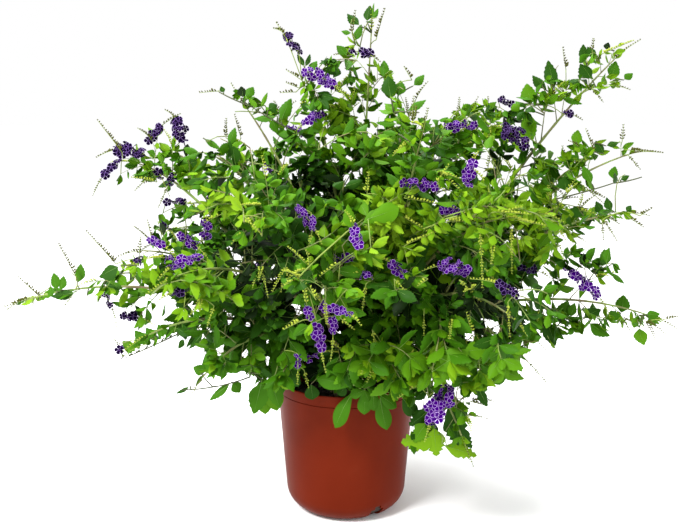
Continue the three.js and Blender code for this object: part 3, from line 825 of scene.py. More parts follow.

# %% [markdown]
# ### How light a spray is
#
# Leaves at the crown's skin and at its top are younger and get more light, so they are lighter: partly
# their own lime, partly painted light, and the dark inside of the crown is painted shade. The photograph
# also has sprays that stand out lime and lit, and dark hollows between the sprays, where shade falls.
# Both are tables of soft round places, read off, that raise or lower the lightness of the sprays near
# them, the first with young lime leaves and painted light, the second with painted shade.

# %% Lightness
# across, down, radius in pixels, and how much lighter, for lime young leaves and painted light
LIME_AND_LIT_SPRAYS = [
    (232, 206, 34, 2.6), (198, 196, 24, 1.6), (385, 205, 34, 2.2), (378, 232, 26, 1.4),
    (414, 232, 30, 1.6), (480, 205, 34, 0.8), (535, 214, 34, 1.4), (520, 240, 34, 0.4),
    (470, 370, 45, 2.2), (500, 350, 30, 1.2), (395, 240, 28, 1.2), (150, 285, 40, 1.2),
    (415, 90, 30, 0.8), (340, 245, 22, 1.0), (212, 288, 34, 1.4), (575, 230, 26, 1.0),
    (250, 124, 30, 0.9), (342, 122, 30, 0.8), (396, 340, 36, 1.6), (378, 302, 24, 0.8),
    (306, 158, 26, 0.8), (290, 245, 24, 0.8), (545, 248, 24, 1.0), (578, 246, 24, 0.9),
    (574, 316, 28, 0.9), (396, 246, 22, 0.6), (432, 318, 22, 0.8), (252, 356, 24, 0.7),
    (288, 352, 22, 0.5), (396, 362, 26, 0.6), (286, 138, 22, 0.6), (324, 172, 20, 0.5),
]
# across, down, radius in pixels, and how much darker, as painted shade
PAINTED_SHADE_HOLLOWS = [
    (300, 184, 38, 2.4), (262, 262, 42, 2.4), (234, 232, 22, 1.4), (400, 296, 30, 1.0),
    (468, 304, 34, 2.8), (510, 318, 34, 1.6), (515, 140, 26, 1.6), (432, 158, 34, 1.6),
    (480, 160, 30, 1.2), (594, 194, 34, 1.4), (594, 124, 34, 1.2), (126, 302, 26, 1.0),
    (430, 412, 34, 1.2), (230, 168, 30, 0.8), (440, 442, 30, 0.8), (160, 178, 32, 0.9),
    (200, 176, 28, 0.9), (180, 246, 24, 0.7), (288, 284, 24, 1.5), (360, 284, 22, 0.7),
    (392, 284, 20, 0.5), (146, 320, 28, 0.8), (182, 320, 24, 0.9), (504, 140, 22, 0.7),
    (500, 174, 24, 0.6), (466, 178, 22, 0.5), (506, 362, 26, 0.8), (500, 390, 24, 0.7),
    (466, 356, 18, 0.5), (250, 248, 22, 0.5),
]
CROWN_MIDDLE = Vector((0, 0, 0.46))
CROWN_HALF = Vector((0.50, 0.40, 0.36))
TOP_LEVEL, TOP_SPAN, TOP_PAINTED_LIGHT = 0.42, 0.3, 0.4
SEEN_DEPTH = 1.75


def outness(point):
    """How far out in the crown a point is: 0 in its middle and about 1 at its skin."""
    away = Vector(point) - CROWN_MIDDLE
    return sqrt(sum((away[i] / CROWN_HALF[i]) ** 2 for i in range(3)))


def spray_lightness(point, share):
    """How light a spray is, from 0 for dark to 5 for lime: the leaves' age, with painted shade inside the
    crown and painted light at its skin and top.
    """
    x, y, depth = in_picture(point)
    # Painted shade deep in the crown and painted light at its skin and at its top, by where the spray stands.
    light = 0.2 + 2.2 * min(1.3, outness(point)) ** 1.5 + 0.9 * share
    light += TOP_PAINTED_LIGHT * max(-1, min(1, (point[2] - TOP_LEVEL) / TOP_SPAN))
    if depth < SEEN_DEPTH:
        # Painted light and painted shade from the two tables.
        for sign, table in ((1, LIME_AND_LIT_SPRAYS), (-1, PAINTED_SHADE_HOLLOWS)):
            for cx, cy, radius, change in table:
                light += sign * change * exp(-(((x - cx) ** 2 + (y - cy) ** 2) / radius**2))
    return light


print("lightness in the crown's middle", round(spray_lightness(CROWN_MIDDLE, 0), 2))

# %% [markdown]
# ### Leaves that are left out
#
# Flowers stand in front of the leaves around them, and the crown has small openings to the sky. A leaf
# that would cover a named cluster or close an opening of the photograph is not grown.

# %% Clusters and openings kept free
# across, down and radius in pixels of the openings, read off
OPENINGS = [
    (282, 160, 3), (266, 169, 4), (292, 175, 2), (346, 177, 2), (194, 198, 3), (196, 217, 3),
    (228, 247, 3), (238, 255, 3), (233, 270, 3), (271, 266, 2), (271, 280, 3), (322, 287, 3),
    (295, 309, 3), (229, 316, 3), (246, 325, 2), (340, 331, 3), (261, 333, 1), (241, 356, 3),
    (266, 361, 2), (221, 348, 2), (300, 231, 2), (319, 192, 2), (252, 262, 2), (448, 192, 3),
    (478, 162, 3), (523, 190, 4), (505, 178, 4), (363, 114, 5), (376, 114, 4), (372, 130, 4),
    (494, 322, 3), (472, 336, 3), (424, 402, 7), (443, 428, 4), (441, 440, 4), (566, 197, 6),
    (592, 162, 3), (524, 294, 7), (164, 297, 4), (512, 163, 4), (491, 322, 3), (490, 160, 3),
    (441, 189, 3), (201, 237, 3), (205, 220, 2), (483, 173, 3), (291, 156, 2), (545, 272, 3),
    (565, 168, 2), (175, 223, 2), (512, 171, 2), (565, 237, 3), (561, 246, 2), (566, 273, 3),
    (548, 261, 2), (529, 167, 3), (190, 307, 3), (168, 250, 3), (380, 82, 3), (366, 68, 3), (140, 300, 2),
    (154, 316, 3), (302, 117, 2), (328, 138, 2), (189, 242, 2), (497, 233, 2), (513, 227, 2),
    (519, 236, 2),
]
OPENING_SEARCH = 60
BEHIND_CLUSTER = 0.012


def hides_cluster(root, tip):
    """True for a leaf that would stand between the camera and a named cluster."""
    x0, y0, depth0 = in_picture(root)
    x1, y1, depth1 = in_picture(tip)
    for raceme in racemes:
        cx, cy, depth = raceme.seen
        if not raceme.named or min(depth0, depth1) > depth + BEHIND_CLUSTER:
            continue
        reach = (raceme.length + raceme.width) * FOCAL_PIXELS / depth / 4 + 1
        if any(hypot(mix(x0, x1, t) - cx, mix(y0, y1, t) - cy) < reach for t in (0.15, 0.5, 0.85)):
            return True
    return False


def closes_opening(root, tip, half_width):
    x0, y0, depth = in_picture(root)
    x1, y1, _ = in_picture(tip)
    side = half_width * FOCAL_PIXELS / depth * 0.8
    for cx, cy, radius in OPENINGS:
        if abs(cx - x0) > OPENING_SEARCH or abs(cy - y0) > OPENING_SEARCH:
            continue
        for t, width in ((0.25, 0.7), (0.5, 1), (0.75, 0.8), (0.95, 0.2)):
            if hypot(mix(x0, x1, t) - cx, mix(y0, y1, t) - cy) < radius + side * width:
                return True
    return False


print(len(OPENINGS), "openings")

# %% [markdown]
# ### Leaves in pairs
#
# A leaf turns its face up and outwards to the light. The pairs follow each other along a twig at even
# gaps, large at its foot and smaller to its tip, which ends in a tuft of young leaves.

# %% One leaf, one pair, one twig
NARROW, WIDE, YOUNG, YOUNG_LIGHTNESS = 0.38, 0.52, 0.8, 3.6
LEAF_GAP = 25 * MM
LEAF_PITCH = 56
MISSING_LEAVES = 0.04
FACING_UP, FACING_OUT, FACING_PLAY = 0.55, 0.75, 0.65
OUTLINE_SHARE = 0.72
DROOP, FOLD = 0.18, 0.34
NARROW_FROM, NARROW_OVER = 24 * MM, 36 * MM
TOOTHED_FROM, TOOTHED_OVER = 44 * MM, 24 * MM


def add_leaf(root, along, length, lightness, numbers):
    along = along.normalized()
    tip = root + along * length
    if not is_clear_of_pot(tip) or not is_clear_of_pot(root + along * length * 0.5):
        return
    if hides_cluster(root, tip) or closes_opening(root, tip, length * 0.2):
        return
    if not is_inside_outline(root.lerp(tip, OUTLINE_SHARE)):
        return
    outward = Vector((root.x, root.y, 0))
    outward = outward.normalized() if outward.length > 1e-4 else Vector((0, -1, 0))
    face = UP * FACING_UP + outward * FACING_OUT + play_each_way(numbers, FACING_PLAY)
    tint = lightness + play(numbers, 0.9)
    slimness = mix(WIDE, NARROW, min(1, max(0, (length - NARROW_FROM) / NARROW_OVER)))
    slimness *= YOUNG if lightness > YOUNG_LIGHTNESS else 1
    width = length * (slimness + play(numbers, 0.05))
    droop = DROOP + play(numbers, 0.16)
    fold = FOLD + play(numbers, 0.18)
    form = -min(1, max(0, (length - TOOTHED_FROM) / TOOTHED_OVER))
    keep_leaf(root, along, face, length, width, droop, fold, tint, numbers, form)


def leaf_pair(place, roll, length, lightness, numbers, pitch=LEAF_PITCH):
    for hand in (1, -1):
        if next(numbers) < MISSING_LEAVES:
            continue
        along = leaning(place, hand * radians(pitch + play(numbers, 12)), roll + play(numbers, 0.25))
        size = length * (1 + play(numbers, 0.16))
        add_leaf(place.root, along - UP * 0.12, size, lightness, numbers)


def dress(curve, start, share_start, share_end, seed, largest, smallest, lightness=None, gap=LEAF_GAP):
    """Pairs of leaves along a curve and a tuft at its tip."""
    numbers = numbers_from(seed)
    pairs = max(1, round(curve.length() * (1 - start) / gap))
    if lightness is None:
        lightness = spray_lightness(curve.point(0.75), share_end) + play(numbers, 0.55)
    for i in range(pairs):
        along_twig = (i + 0.5) / pairs
        place = station(curve, mix(start, 1, (i + 0.4) / (pairs + 0.1)))
        roll = radians(25 + 90 * (i % 2) + play(numbers, 25))
        size = mix(largest, smallest, along_twig) * mix(1, 0.72, mix(share_start, share_end, along_twig) ** 2)
        leaf_pair(place, roll, size, lightness - 0.35 + 0.5 * along_twig, numbers)
    end = station(curve, 1)
    for ring in range(2):
        roll = radians(90 * ring + play(numbers, 30))
        size = smallest * (0.95 - 0.2 * ring)
        leaf_pair(end, roll, size, lightness + 0.4 + 0.3 * ring, numbers, pitch=46 - 16 * ring)
    add_leaf(end.root, end.along, smallest * 0.8, lightness + 0.7, numbers)


print("a leaf is", LARGEST_LEAF / MM, "to", SMALLEST_LEAF / MM, "mm long, a pair every", LEAF_GAP / MM, "mm")

# %% [markdown]
# ### What the photograph's own sprays are seated on
#
# The tufts, shoots, stalks and strings that stand out in the photograph are known by their pixels only.
# Each needs a depth and a piece of wood to grow from. These helpers find the twig that passes nearest
# to a line of sight, the twig or leader nearest to a point, and the depth of the twigs in front.

# %% Depth and seats
SEARCH_PIXELS = 24
CARRIER_HANDICAP = 0.2
SEAT_STATION = 0.7
for twig in twigs:
    twig.seat = twig.curve.point(SEAT_STATION)
    twig.seen = in_picture(twig.seat)


def carrier_near(across, down):
    """The twig that passes nearest to a line of sight, rather in front than behind."""
    def cost(twig):
        x, y, depth = twig.seen
        return hypot(x - across, y - down) * depth / FOCAL_PIXELS + CARRIER_HANDICAP * depth
    return min(twigs, key=cost)


def depth_in_front(across, down):
    """How deep the foremost twig lies round a pixel."""
    near = [t.seen[2] for t in twigs if hypot(t.seen[0] - across, t.seen[1] - down) < SEARCH_PIXELS]
    return min(near) if near else carrier_near(across, down).seen[2]


def depth_of(across, down, front):
    """The depth at which a pixel's line of sight is so many millimetres in front of the pot's axis."""
    way = at_pixel(across, down, 1) - CAMERA_AT
    return (-front * MM - CAMERA_AT.y) / way.y


def nearest_twig(point):
    return min(twigs, key=lambda twig: (twig.seat - point).length)


def nearest_wood(point):
    """The place on a twig or a leader that lies nearest to a point."""
    on_twigs = [t.curve.point(s) for t in twigs for s in (0.3, 0.65, 1) if abs(t.seat.x - point.x) < 0.15]
    on_leaders = [s.curve.point(mix(s.wood.bare, 1, i / 20)) for s in shoots for i in range(21)]
    return min(on_twigs + on_leaders, key=lambda place: (place - point).length)


print("the foremost twig in the picture's middle is", round(depth_in_front(340, 261), 2), "m away")

# %% [markdown]
# ### Tufts, rim sprays and long young shoots
#
# The photograph shows tufts of big leaves in full, sprays that hang over the rim and beside the pot,
# and long young shoots that arch across the front of the crown. A tuft is a short leafy twig that ends
# at its place. A shoot is bent through three places, and kept from running too far in depth.

# %% The tables of tufts and shoots
# across, down, the leaves' length in millimetres, how many pairs, and how light they are, which holds
# painted light and shade as well as the leaves' age
TUFTS = [
    (396, 372, 52, 4, 2.4), (345, 372, 50, 4, 1.6), (250, 372, 48, 4, 1.7), (222, 360, 46, 3, 2.2),
    (205, 338, 46, 3, 2.0), (470, 372, 46, 4, 2.6), (440, 362, 46, 4, 2.4), (498, 352, 44, 4, 1.9),
    (388, 216, 40, 2, 4.4), (600, 318, 34, 3, 2.2), (640, 326, 32, 2, 2.4), (575, 326, 36, 3, 2.0),
    (286, 368, 50, 3, 1.4), (350, 24, 32, 3, 2.2), (372, 18, 30, 2, 2.2), (400, 88, 32, 3, 2.0),
    (322, 108, 34, 3, 2.0), (534, 96, 34, 3, 2.2), (552, 78, 32, 3, 2.4), (246, 94, 30, 2, 2.4),
    (280, 112, 32, 3, 2.4), (620, 176, 30, 2, 1.4), (186, 158, 34, 3, 1.1), (206, 152, 36, 3, 1.2),
    (226, 140, 34, 3, 2.0), (236, 166, 38, 3, 0.9), (212, 178, 38, 3, 1.0), (334, 64, 32, 3, 2.0),
    (318, 96, 34, 3, 1.6), (262, 104, 32, 2, 2.2), (528, 122, 38, 3, 1.0), (504, 114, 36, 3, 1.0),
    (478, 112, 36, 3, 1.4), (590, 54, 30, 2, 2.4), (566, 256, 36, 3, 1.6), (586, 264, 34, 3, 1.8),
    (606, 264, 32, 2, 2.0), (216, 350, 46, 3, 1.8), (500, 372, 42, 3, 1.8), (484, 384, 42, 3, 2.1),
    (110, 284, 32, 2, 2.6), (76, 276, 30, 2, 3.0), (52, 286, 26, 2, 3.0), (128, 342, 34, 2, 2.4),
    (350, 70, 32, 3, 1.8), (578, 227, 30, 3, 1.6), (580, 266, 30, 3, 1.4), (566, 318, 34, 3, 2.3),
    (556, 326, 34, 3, 2.2), (340, 60, 28, 2, 1.6), (328, 65, 26, 2, 1.6), (436, 124, 32, 3, 2.0),
    (456, 112, 30, 2, 1.8), (240, 112, 30, 2, 1.8), (552, 280, 32, 3, 1.2), (186, 220, 30, 2, 1.2),
    (160, 231, 28, 2, 1.2), (523, 175, 32, 3, 1.0), (222, 158, 32, 3, 1.0), (299, 133, 32, 3, 1.8),
    (328, 58, 26, 2, 1.6), (500, 108, 32, 3, 1.2), (525, 106, 32, 3, 1.2), (542, 291, 30, 2, 1.4),
    (501, 179, 32, 3, 1.0), (528, 341, 34, 3, 2.0), (578, 80, 28, 2, 1.6), (546, 308, 32, 3, 1.6),
    (541, 82, 28, 2, 1.8), (533, 141, 30, 3, 1.0), (345, 180, 36, 3, 1.0), (526, 316, 34, 3, 1.2),
    (555, 68, 26, 2, 1.8),
]
# across, down, how far in front of the pot's axis, the leaves' length, both in millimetres, how many
# pairs, and how light they are, which holds painted light and shade as well as the leaves' age. The
# darkest rows, near the axis over the rim, fill the hollow there with painted shade
RIM_SPRAYS = [
    (446, 350, 270, 58, 4, 3.0), (430, 366, 250, 52, 4, 3.0), (478, 362, 250, 48, 4, 2.8),
    (508, 354, 220, 44, 3, 2.2), (462, 382, 240, 44, 4, 2.8), (500, 372, 200, 40, 3, 2.3),
    (404, 352, 250, 52, 4, 2.8), (350, 362, 200, 48, 4, 1.6), (392, 372, 190, 52, 4, 2.0),
    (228, 334, 20, 50, 4, 0.8), (250, 346, 60, 52, 4, 1.0), (268, 356, 90, 50, 4, 1.4),
    (214, 356, 20, 46, 4, 1.6), (236, 322, 20, 50, 4, 0.6), (330, 368, 100, 46, 3, 0.6),
    (302, 356, 20, 46, 4, 0.4), (318, 362, 10, 46, 4, 0.3), (290, 350, 10, 44, 4, 0.6),
    (334, 354, 20, 44, 3, 0.5), (308, 342, 0, 46, 4, 0.3),
]
# three places that bend the shoot, the length of its leaves at the foot and at the tip and the gap
# between pairs in millimetres, and how light they are: young lime leaves with painted light
LONG_SPRAYS = [
    ((262, 236), (236, 204), (196, 214), 34, 24, 11, 4.5),
    ((244, 222), (238, 200), (214, 190), 34, 26, 12, 4.6),
    ((418, 238), (480, 206), (558, 222), 28, 20, 9, 4.5),
    ((342, 246), (372, 214), (402, 194), 50, 34, 18, 3.6),
    ((392, 216), (396, 240), (412, 250), 34, 24, 12, 4.2),
    ((470, 218), (500, 196), (512, 178), 30, 22, 13, 3.8),
    ((540, 216), (552, 236), (548, 256), 34, 26, 14, 3.8),
    ((150, 296), (180, 280), (222, 292), 36, 26, 14, 3.4),
    ((300, 250), (322, 240), (340, 226), 34, 26, 14, 3.4),
    ((440, 378), (470, 366), (496, 380), 32, 24, 12, 4.0),
    ((250, 148), (228, 136), (206, 142), 32, 24, 13, 3.4),
    ((318, 150), (352, 132), (380, 138), 34, 26, 14, 3.0),
    ((520, 262), (500, 238), (482, 232), 34, 26, 14, 3.4),
    ((232, 300), (214, 286), (190, 288), 36, 28, 14, 3.2),
]
print(len(TUFTS), "tufts,", len(RIM_SPRAYS), "rim sprays,", len(LONG_SPRAYS), "long shoots")

# %% Grow tufts, rim sprays and long shoots
DEPTH_SHARE = 0.6
TUFT_GAP = 16 * MM
tuft_twigs = []


def add_tuft(carrier, middle, size, pairs, lightness, seed):
    """A short leafy twig that leaves its carrier and ends at a place, in a tuft of big leaves."""
    numbers = numbers_from(seed)
    outward = Vector((middle.x, middle.y, 0)).normalized()
    way = outward * 0.7 - UP * 0.25 + (middle - carrier.seat).normalized() * 0.8 + UP * play(numbers, 0.4)
    way.normalize()
    curve = Curve(carrier.seat, middle - way * size * 0.4 * MM + UP * 4 * MM, middle + way * size * 0.3 * MM)
    tuft_twigs.append(curve)
    bare = 1 - (0.55 * size + 9 * pairs) * MM / curve.length()
    dress(curve, max(0.3, bare), 0, 0.2, seed, size * 1.1 * MM, size * 0.8 * MM, lightness, TUFT_GAP)


for index, (across, down, size, pairs, lightness) in enumerate(TUFTS):
    carrier = carrier_near(across, down)
    middle = at_pixel(across, down, carrier.seen[2] - 0.02)
    add_tuft(carrier, middle, size, pairs, lightness, 9000 + index)
for index, (across, down, front, size, pairs, lightness) in enumerate(RIM_SPRAYS):
    middle = at_pixel(across, down, depth_of(across, down, front))
    add_tuft(nearest_twig(middle), middle, size, pairs, lightness, 9200 + index)
for index, (*places, foot_leaf, tip_leaf, gap, lightness) in enumerate(LONG_SPRAYS):
    depths = [depth_in_front(*place) - 0.015 for place in places]
    (x0, y0), _, (x2, y2) = places
    reach = hypot(x2 - x0, y2 - y0) * min(depths) / FOCAL_PIXELS
    depths = [min(depth, min(depths) + DEPTH_SHARE * reach) for depth in depths]
    start, handle, end = [at_pixel(*place, depth) for place, depth in zip(places, depths)]
    curve = Curve(start, handle * 2 - (start + end) / 2, end)
    tuft_twigs += [arching(nearest_twig(start).seat, start, 6), curve]
    dress(curve, 0.02, 0, 0.3, 9400 + index, foot_leaf * MM, tip_leaf * MM, lightness, gap * MM)
print(len(tuft_twigs), "twigs of their own")

# %% [markdown]
# ### Thin stalks against the sky
#
# A few thin stalks stand out into the sky and carry single leaves and strings of buds. They are grown
# first, and what stands near one of them is seated on it, so that nothing hangs in the air.

# %% Stalks against the sky
# from the wood to the tip, as pixels
SKY_STALKS = [
    (194, 326, 129, 356), (250, 377, 214, 387), (218, 386, 182, 390), (212, 386, 200, 372),
    (556, 199, 617, 182), (614, 183, 642, 177), (643, 315, 639, 328), (292, 130, 252, 107),
    (253, 107, 219, 92),
]
SEAT_PIXELS = 9
STALK_PARTS = 8
stalk_places = []
shaded_twigs = []


def seat_of(across, down):
    """The depth of a thin part's foot, and the place on a stalk where it is seated if one is near."""
    near = min(stalk_places, key=lambda row: hypot(row[0] - across, row[1] - down), default=None)
    if near and hypot(near[0] - across, near[1] - down) < SEAT_PIXELS:
        return near[2], near[3]
    return carrier_near(across, down).seen[2] - 0.005, None


for x0, y0, x1, y1 in SKY_STALKS:
    depth, seat = seat_of(x0, y0)
    foot, tip = at_pixel(x0, y0, depth), at_pixel(x1, y1, depth)
    curve = arching(foot, tip, -3)
    shaded_twigs += [arching(seat or nearest_wood(foot), foot, 0), curve]
    stalk_places += [(*in_picture(point), point) for point in curve.points(STALK_PARTS)]
print(len(SKY_STALKS), "stalks")

# %% [markdown]
# ### Single leaves
#
# Against the sky every leaf counts, and so do the big leaves that the photograph shows one by one: the
# blunt ones of the low shoot that arches over the rim, pointed ones at the lower left, and the ones
# with coarse teeth beside the pot. Each is given by the pixels of its foot and its tip.

# %% The tables of single leaves
# the pixels of the foot and of the tip, the width in pixels, and how light the leaf is, which holds
# painted light and shade as well as the leaf's own tint
SKY_LEAVES = [
    (360, 26, 349, 12, 10, 1.4), (352, 33, 341, 31, 5, 1.8), (353, 42, 362, 24, 8, 1.6),
    (367, 22, 368, 5, 9, 1.2), (372, 20, 378, 8, 5, 1.6), (347, 56, 338, 44, 8, 2.0),
    (384, 78, 383, 60, 9, 1.8), (413, 86, 425, 75, 8, 2.0), (391, 98, 386, 76, 14, 1.4),
    (398, 97, 401, 80, 11, 2.2), (407, 112, 424, 97, 8, 2.0), (398, 124, 376, 122, 6, 1.8),
    (398, 134, 383, 130, 6, 1.6), (308, 72, 316, 60, 8, 2.4), (335, 78, 337, 66, 9, 0.6),
    (310, 110, 301, 104, 7, 1.4), (531, 106, 527, 83, 14, 3.0), (528, 110, 529, 141, 14, 2.6),
    (555, 90, 547, 60, 12, 1.4), (546, 90, 534, 74, 10, 1.2), (586, 62, 582, 44, 9, 1.2),
    (597, 58, 588, 46, 9, 1.0), (592, 80, 583, 62, 13, 1.4), (580, 78, 570, 88, 11, 1.0),
    (611, 80, 618, 61, 11, 1.6), (606, 50, 608, 42, 6, 0.3), (560, 97, 583, 104, 6, 1.6),
    (624, 80, 632, 72, 7, 2.0), (521, 104, 511, 110, 8, 3.4), (575, 146, 580, 130, 10, 3.4),
    (576, 142, 592, 152, 7, 3.2), (604, 154, 597, 140, 10, 0.8), (606, 146, 618, 141, 6, 0.6),
    (556, 158, 580, 156, 9, 2.4), (592, 184, 586, 165, 10, 1.6), (613, 180, 615, 166, 9, 1.8),
    (620, 180, 630, 176, 5, 1.2), (566, 192, 564, 176, 13, 1.0), (584, 216, 574, 206, 13, 0.6),
    (604, 214, 595, 202, 9, 0.8), (612, 212, 607, 197, 9, 1.0), (626, 212, 632, 206, 6, 0.6),
    (562, 322, 567, 300, 14, 2.2), (570, 318, 576, 303, 8, 1.8), (583, 318, 600, 307, 11, 0.8),
    (576, 318, 580, 332, 9, 1.0), (588, 322, 610, 338, 12, 1.6), (606, 316, 621, 314, 10, 2.0),
    (621, 314, 625, 295, 13, 2.0), (645, 316, 660, 312, 8, 1.6), (648, 316, 656, 326, 8, 2.0),
    (639, 327, 642, 346, 12, 3.2), (546, 320, 557, 346, 14, 0.8), (606, 266, 606, 249, 10, 1.6),
    (607, 268, 591, 272, 9, 1.2), (610, 272, 625, 284, 5, 1.6), (613, 263, 621, 269, 5, 1.6),
    (590, 264, 580, 254, 11, 0.4), (77, 284, 82, 264, 10, 1.8), (57, 291, 52, 273, 9, 1.8),
    (60, 291, 64, 276, 8, 1.8), (76, 292, 51, 299, 9, 0.8), (120, 266, 98, 276, 16, 1.2),
    (121, 274, 101, 281, 9, 1.4), (104, 284, 122, 287, 6, 1.0), (104, 287, 110, 296, 4, 2.4),
    (87, 296, 94, 286, 4, 2.0), (42, 298, 52, 290, 7, 2.8), (38, 300, 46, 294, 5, 2.6),
    (262, 380, 254, 415, 18, 1.8), (272, 380, 277, 409, 14, 1.8), (232, 382, 241, 392, 11, 2.2),
    (231, 383, 208, 399, 8, 1.6), (190, 386, 176, 395, 4, 1.4), (207, 371, 193, 367, 11, 1.8),
    (204, 374, 194, 385, 4, 1.0), (206, 352, 222, 376, 14, 2.0), (243, 98, 242, 86, 9, 0.4),
    (246, 98, 252, 86, 9, 1.6), (224, 93, 221, 86, 5, 0.8), (257, 109, 251, 97, 5, 3.0),
    (261, 108, 267, 92, 4, 3.0), (268, 110, 277, 105, 10, 1.2), (278, 116, 253, 119, 8, 1.8),
    (272, 118, 277, 133, 9, 1.8), (281, 122, 288, 97, 11, 2.2), (292, 132, 278, 134, 8, 2.0),
    (228, 146, 237, 128, 8, 1.6), (203, 138, 222, 148, 6, 2.4), (136, 352, 123, 340, 10, 2.6),
    (140, 350, 134, 339, 7, 2.2), (148, 346, 135, 330, 10, 2.0), (155, 342, 147, 327, 10, 2.0),
    (164, 338, 157, 325, 9, 2.0), (172, 335, 162, 328, 6, 1.6), (179, 332, 168, 325, 9, 1.6),
    (187, 329, 178, 320, 8, 1.4), (132, 354, 127, 346, 6, 2.4), (184, 338, 178, 349, 6, 0.8),
    (200, 330, 184, 346, 6, 0.6), (204, 332, 189, 350, 6, 0.6), (195, 318, 170, 324, 9, 1.2),
    (190, 310, 174, 300, 9, 1.0), (305, 67, 297, 54, 5, 0.8), (305, 67, 311, 54, 5, 1.0),
]
# the same, and how many millimetres in front of the pot's axis the leaf hangs. The darkest blunt
# leaves, 30 to 40 mm in front of the axis, fill the hollow over the rim with painted shade
BLUNT_LEAVES = [
    (356, 385, 316, 379, 14, 2.0, 172), (357, 382, 329, 363, 9, 1.6, 168),
    (362, 378, 351, 355, 10, 1.8, 166), (378, 380, 396, 354, 12, 2.2, 172),
    (353, 392, 330, 425, 14, 2.4, 150), (365, 390, 365, 415, 13, 2.0, 150),
    (380, 396, 384, 431, 14, 2.2, 150), (378, 394, 398, 406, 11, 1.8, 156),
    (402, 397, 416, 417, 13, 1.4, 160), (388, 395, 402, 389, 11, 2.0, 160),
    (311, 384, 313, 400, 13, 1.4, 138), (295, 372, 292, 387, 12, 1.3, 130),
    (372, 388, 376, 411, 11, 1.8, 150), (368, 380, 372, 354, 11, 1.6, 168),
    (346, 386, 339, 396, 9, 1.4, 160), (345, 378, 336, 362, 9, 1.2, 160),
    (262, 380, 261, 415, 15, 2.9, 104), (270, 376, 279, 411, 16, 2.7, 108),
    (266, 376, 259, 398, 12, 2.4, 100), (276, 372, 282, 396, 14, 2.2, 106),
    (365, 390, 350, 396, 9, 1.8, 182), (366, 388, 382, 393, 9, 2.0, 184),
    (362, 387, 375, 377, 9, 2.0, 186), (368, 388, 356, 379, 9, 1.7, 184),
    (364, 389, 370, 402, 9, 1.9, 182), (322, 358, 306, 374, 15, 0.4, 30),
    (326, 366, 308, 380, 14, 0.3, 40), (300, 366, 314, 378, 12, 0.5, 30),
    (334, 362, 322, 378, 13, 0.3, 40), (330, 352, 316, 364, 14, 0.4, 30),
    (368, 219, 400, 209, 18, 3.2, 245),
]
POINTED_LEAVES = [
    (432, 372, 466, 346, 22, 3.4, 290), (500, 366, 521, 343, 13, 3.0, 230),
    (498, 368, 524, 382, 11, 3.0, 230), (218, 330, 204, 352, 16, 1.2, 30),
    (204, 352, 220, 378, 20, 2.2, 30), (224, 350, 247, 369, 16, 1.2, 50),
    (262, 330, 247, 357, 20, 1.6, 70), (268, 360, 243, 373, 18, 1.8, 80),
    (285, 345, 258, 352, 14, 1.6, 100), (290, 352, 268, 377, 20, 2.0, 110),
    (262, 296, 262, 322, 15, 1.6, 90), (285, 308, 284, 335, 17, 1.8, 110),
    (208, 292, 211, 319, 11, 2.4, 60), (478, 388, 488, 407, 9, 1.0, 230),
    (428, 388, 413, 398, 10, 1.4, 190), (234, 328, 214, 345, 14, 1.6, 30),
    (238, 342, 222, 360, 12, 1.4, 35),
]
TOOTHED_LEAVES = [
    (440, 434, 402, 446, 20, 4.0, 190), (434, 426, 436, 457, 18, 3.8, 190),
    (428, 422, 411, 440, 14, 3.0, 188), (442, 445, 478, 455, 13, 3.6, 190),
    (447, 446, 467, 457, 8, 3.2, 188), (454, 392, 463, 446, 20, 1.2, 185),
    (448, 410, 458, 446, 16, 1.0, 183), (431, 408, 411, 428, 15, 1.3, 175),
    (426, 404, 424, 430, 13, 1.1, 173), (458, 424, 470, 450, 12, 1.2, 184),
    (424, 372, 400, 356, 16, 2.4, 250), (436, 356, 470, 372, 18, 2.8, 285),
    (462, 352, 490, 346, 16, 2.6, 280),
]
print(len(SKY_LEAVES), "leaves against the sky")

# %% Place the single leaves
FORESHORTENED = 1.15
ROSETTE_REACH = 80 * MM
ROSETTE = at_pixel(366, 386, depth_of(366, 386, 150))
rosette_foot = Vector((0.006, -0.018, SOIL_CROWN + 0.03))
tuft_twigs.append(Curve(rosette_foot, rosette_foot.lerp(ROSETTE, 0.6) + UP * 30 * MM, ROSETTE))

single_rows = [(*row, *seat_of(row[0], row[1]), 0) for row in SKY_LEAVES]
for form, table in ((1, BLUNT_LEAVES), (0, POINTED_LEAVES), (-1, TOOTHED_LEAVES)):
    single_rows += [(*row[:6], depth_of(row[0], row[1], row[6]), None, form) for row in table]
for index, (foot_x, foot_y, tip_x, tip_y, width, lightness, depth, seat, form) in enumerate(single_rows):
    stalk_list = shaded_twigs if index < len(SKY_LEAVES) else tuft_twigs
    numbers = numbers_from(9700 + index)
    foot, tip = at_pixel(foot_x, foot_y, depth), at_pixel(tip_x, tip_y, depth)
    root = seat or (ROSETTE if (ROSETTE - foot).length < ROSETTE_REACH else nearest_wood(foot))
    stalk_list.append(arching(root, foot, 2))
    length = (tip - foot).length
    face = UP * 0.45 - LOOK + Vector((play(numbers, 0.3), 0, play(numbers, 0.3)))
    real_width = FORESHORTENED * width * depth / FOCAL_PIXELS
    keep_leaf(foot, (tip - foot) / length, face, length, real_width, 0.08, 0.2, lightness, numbers, form)
print(len(single_rows), "single leaves")

# %% [markdown]
# ### Every other leaf
#
# The rest of the crown follows the rule alone: every twig and every leader is dressed with pairs that
# are large inside the crown and small at its skin.

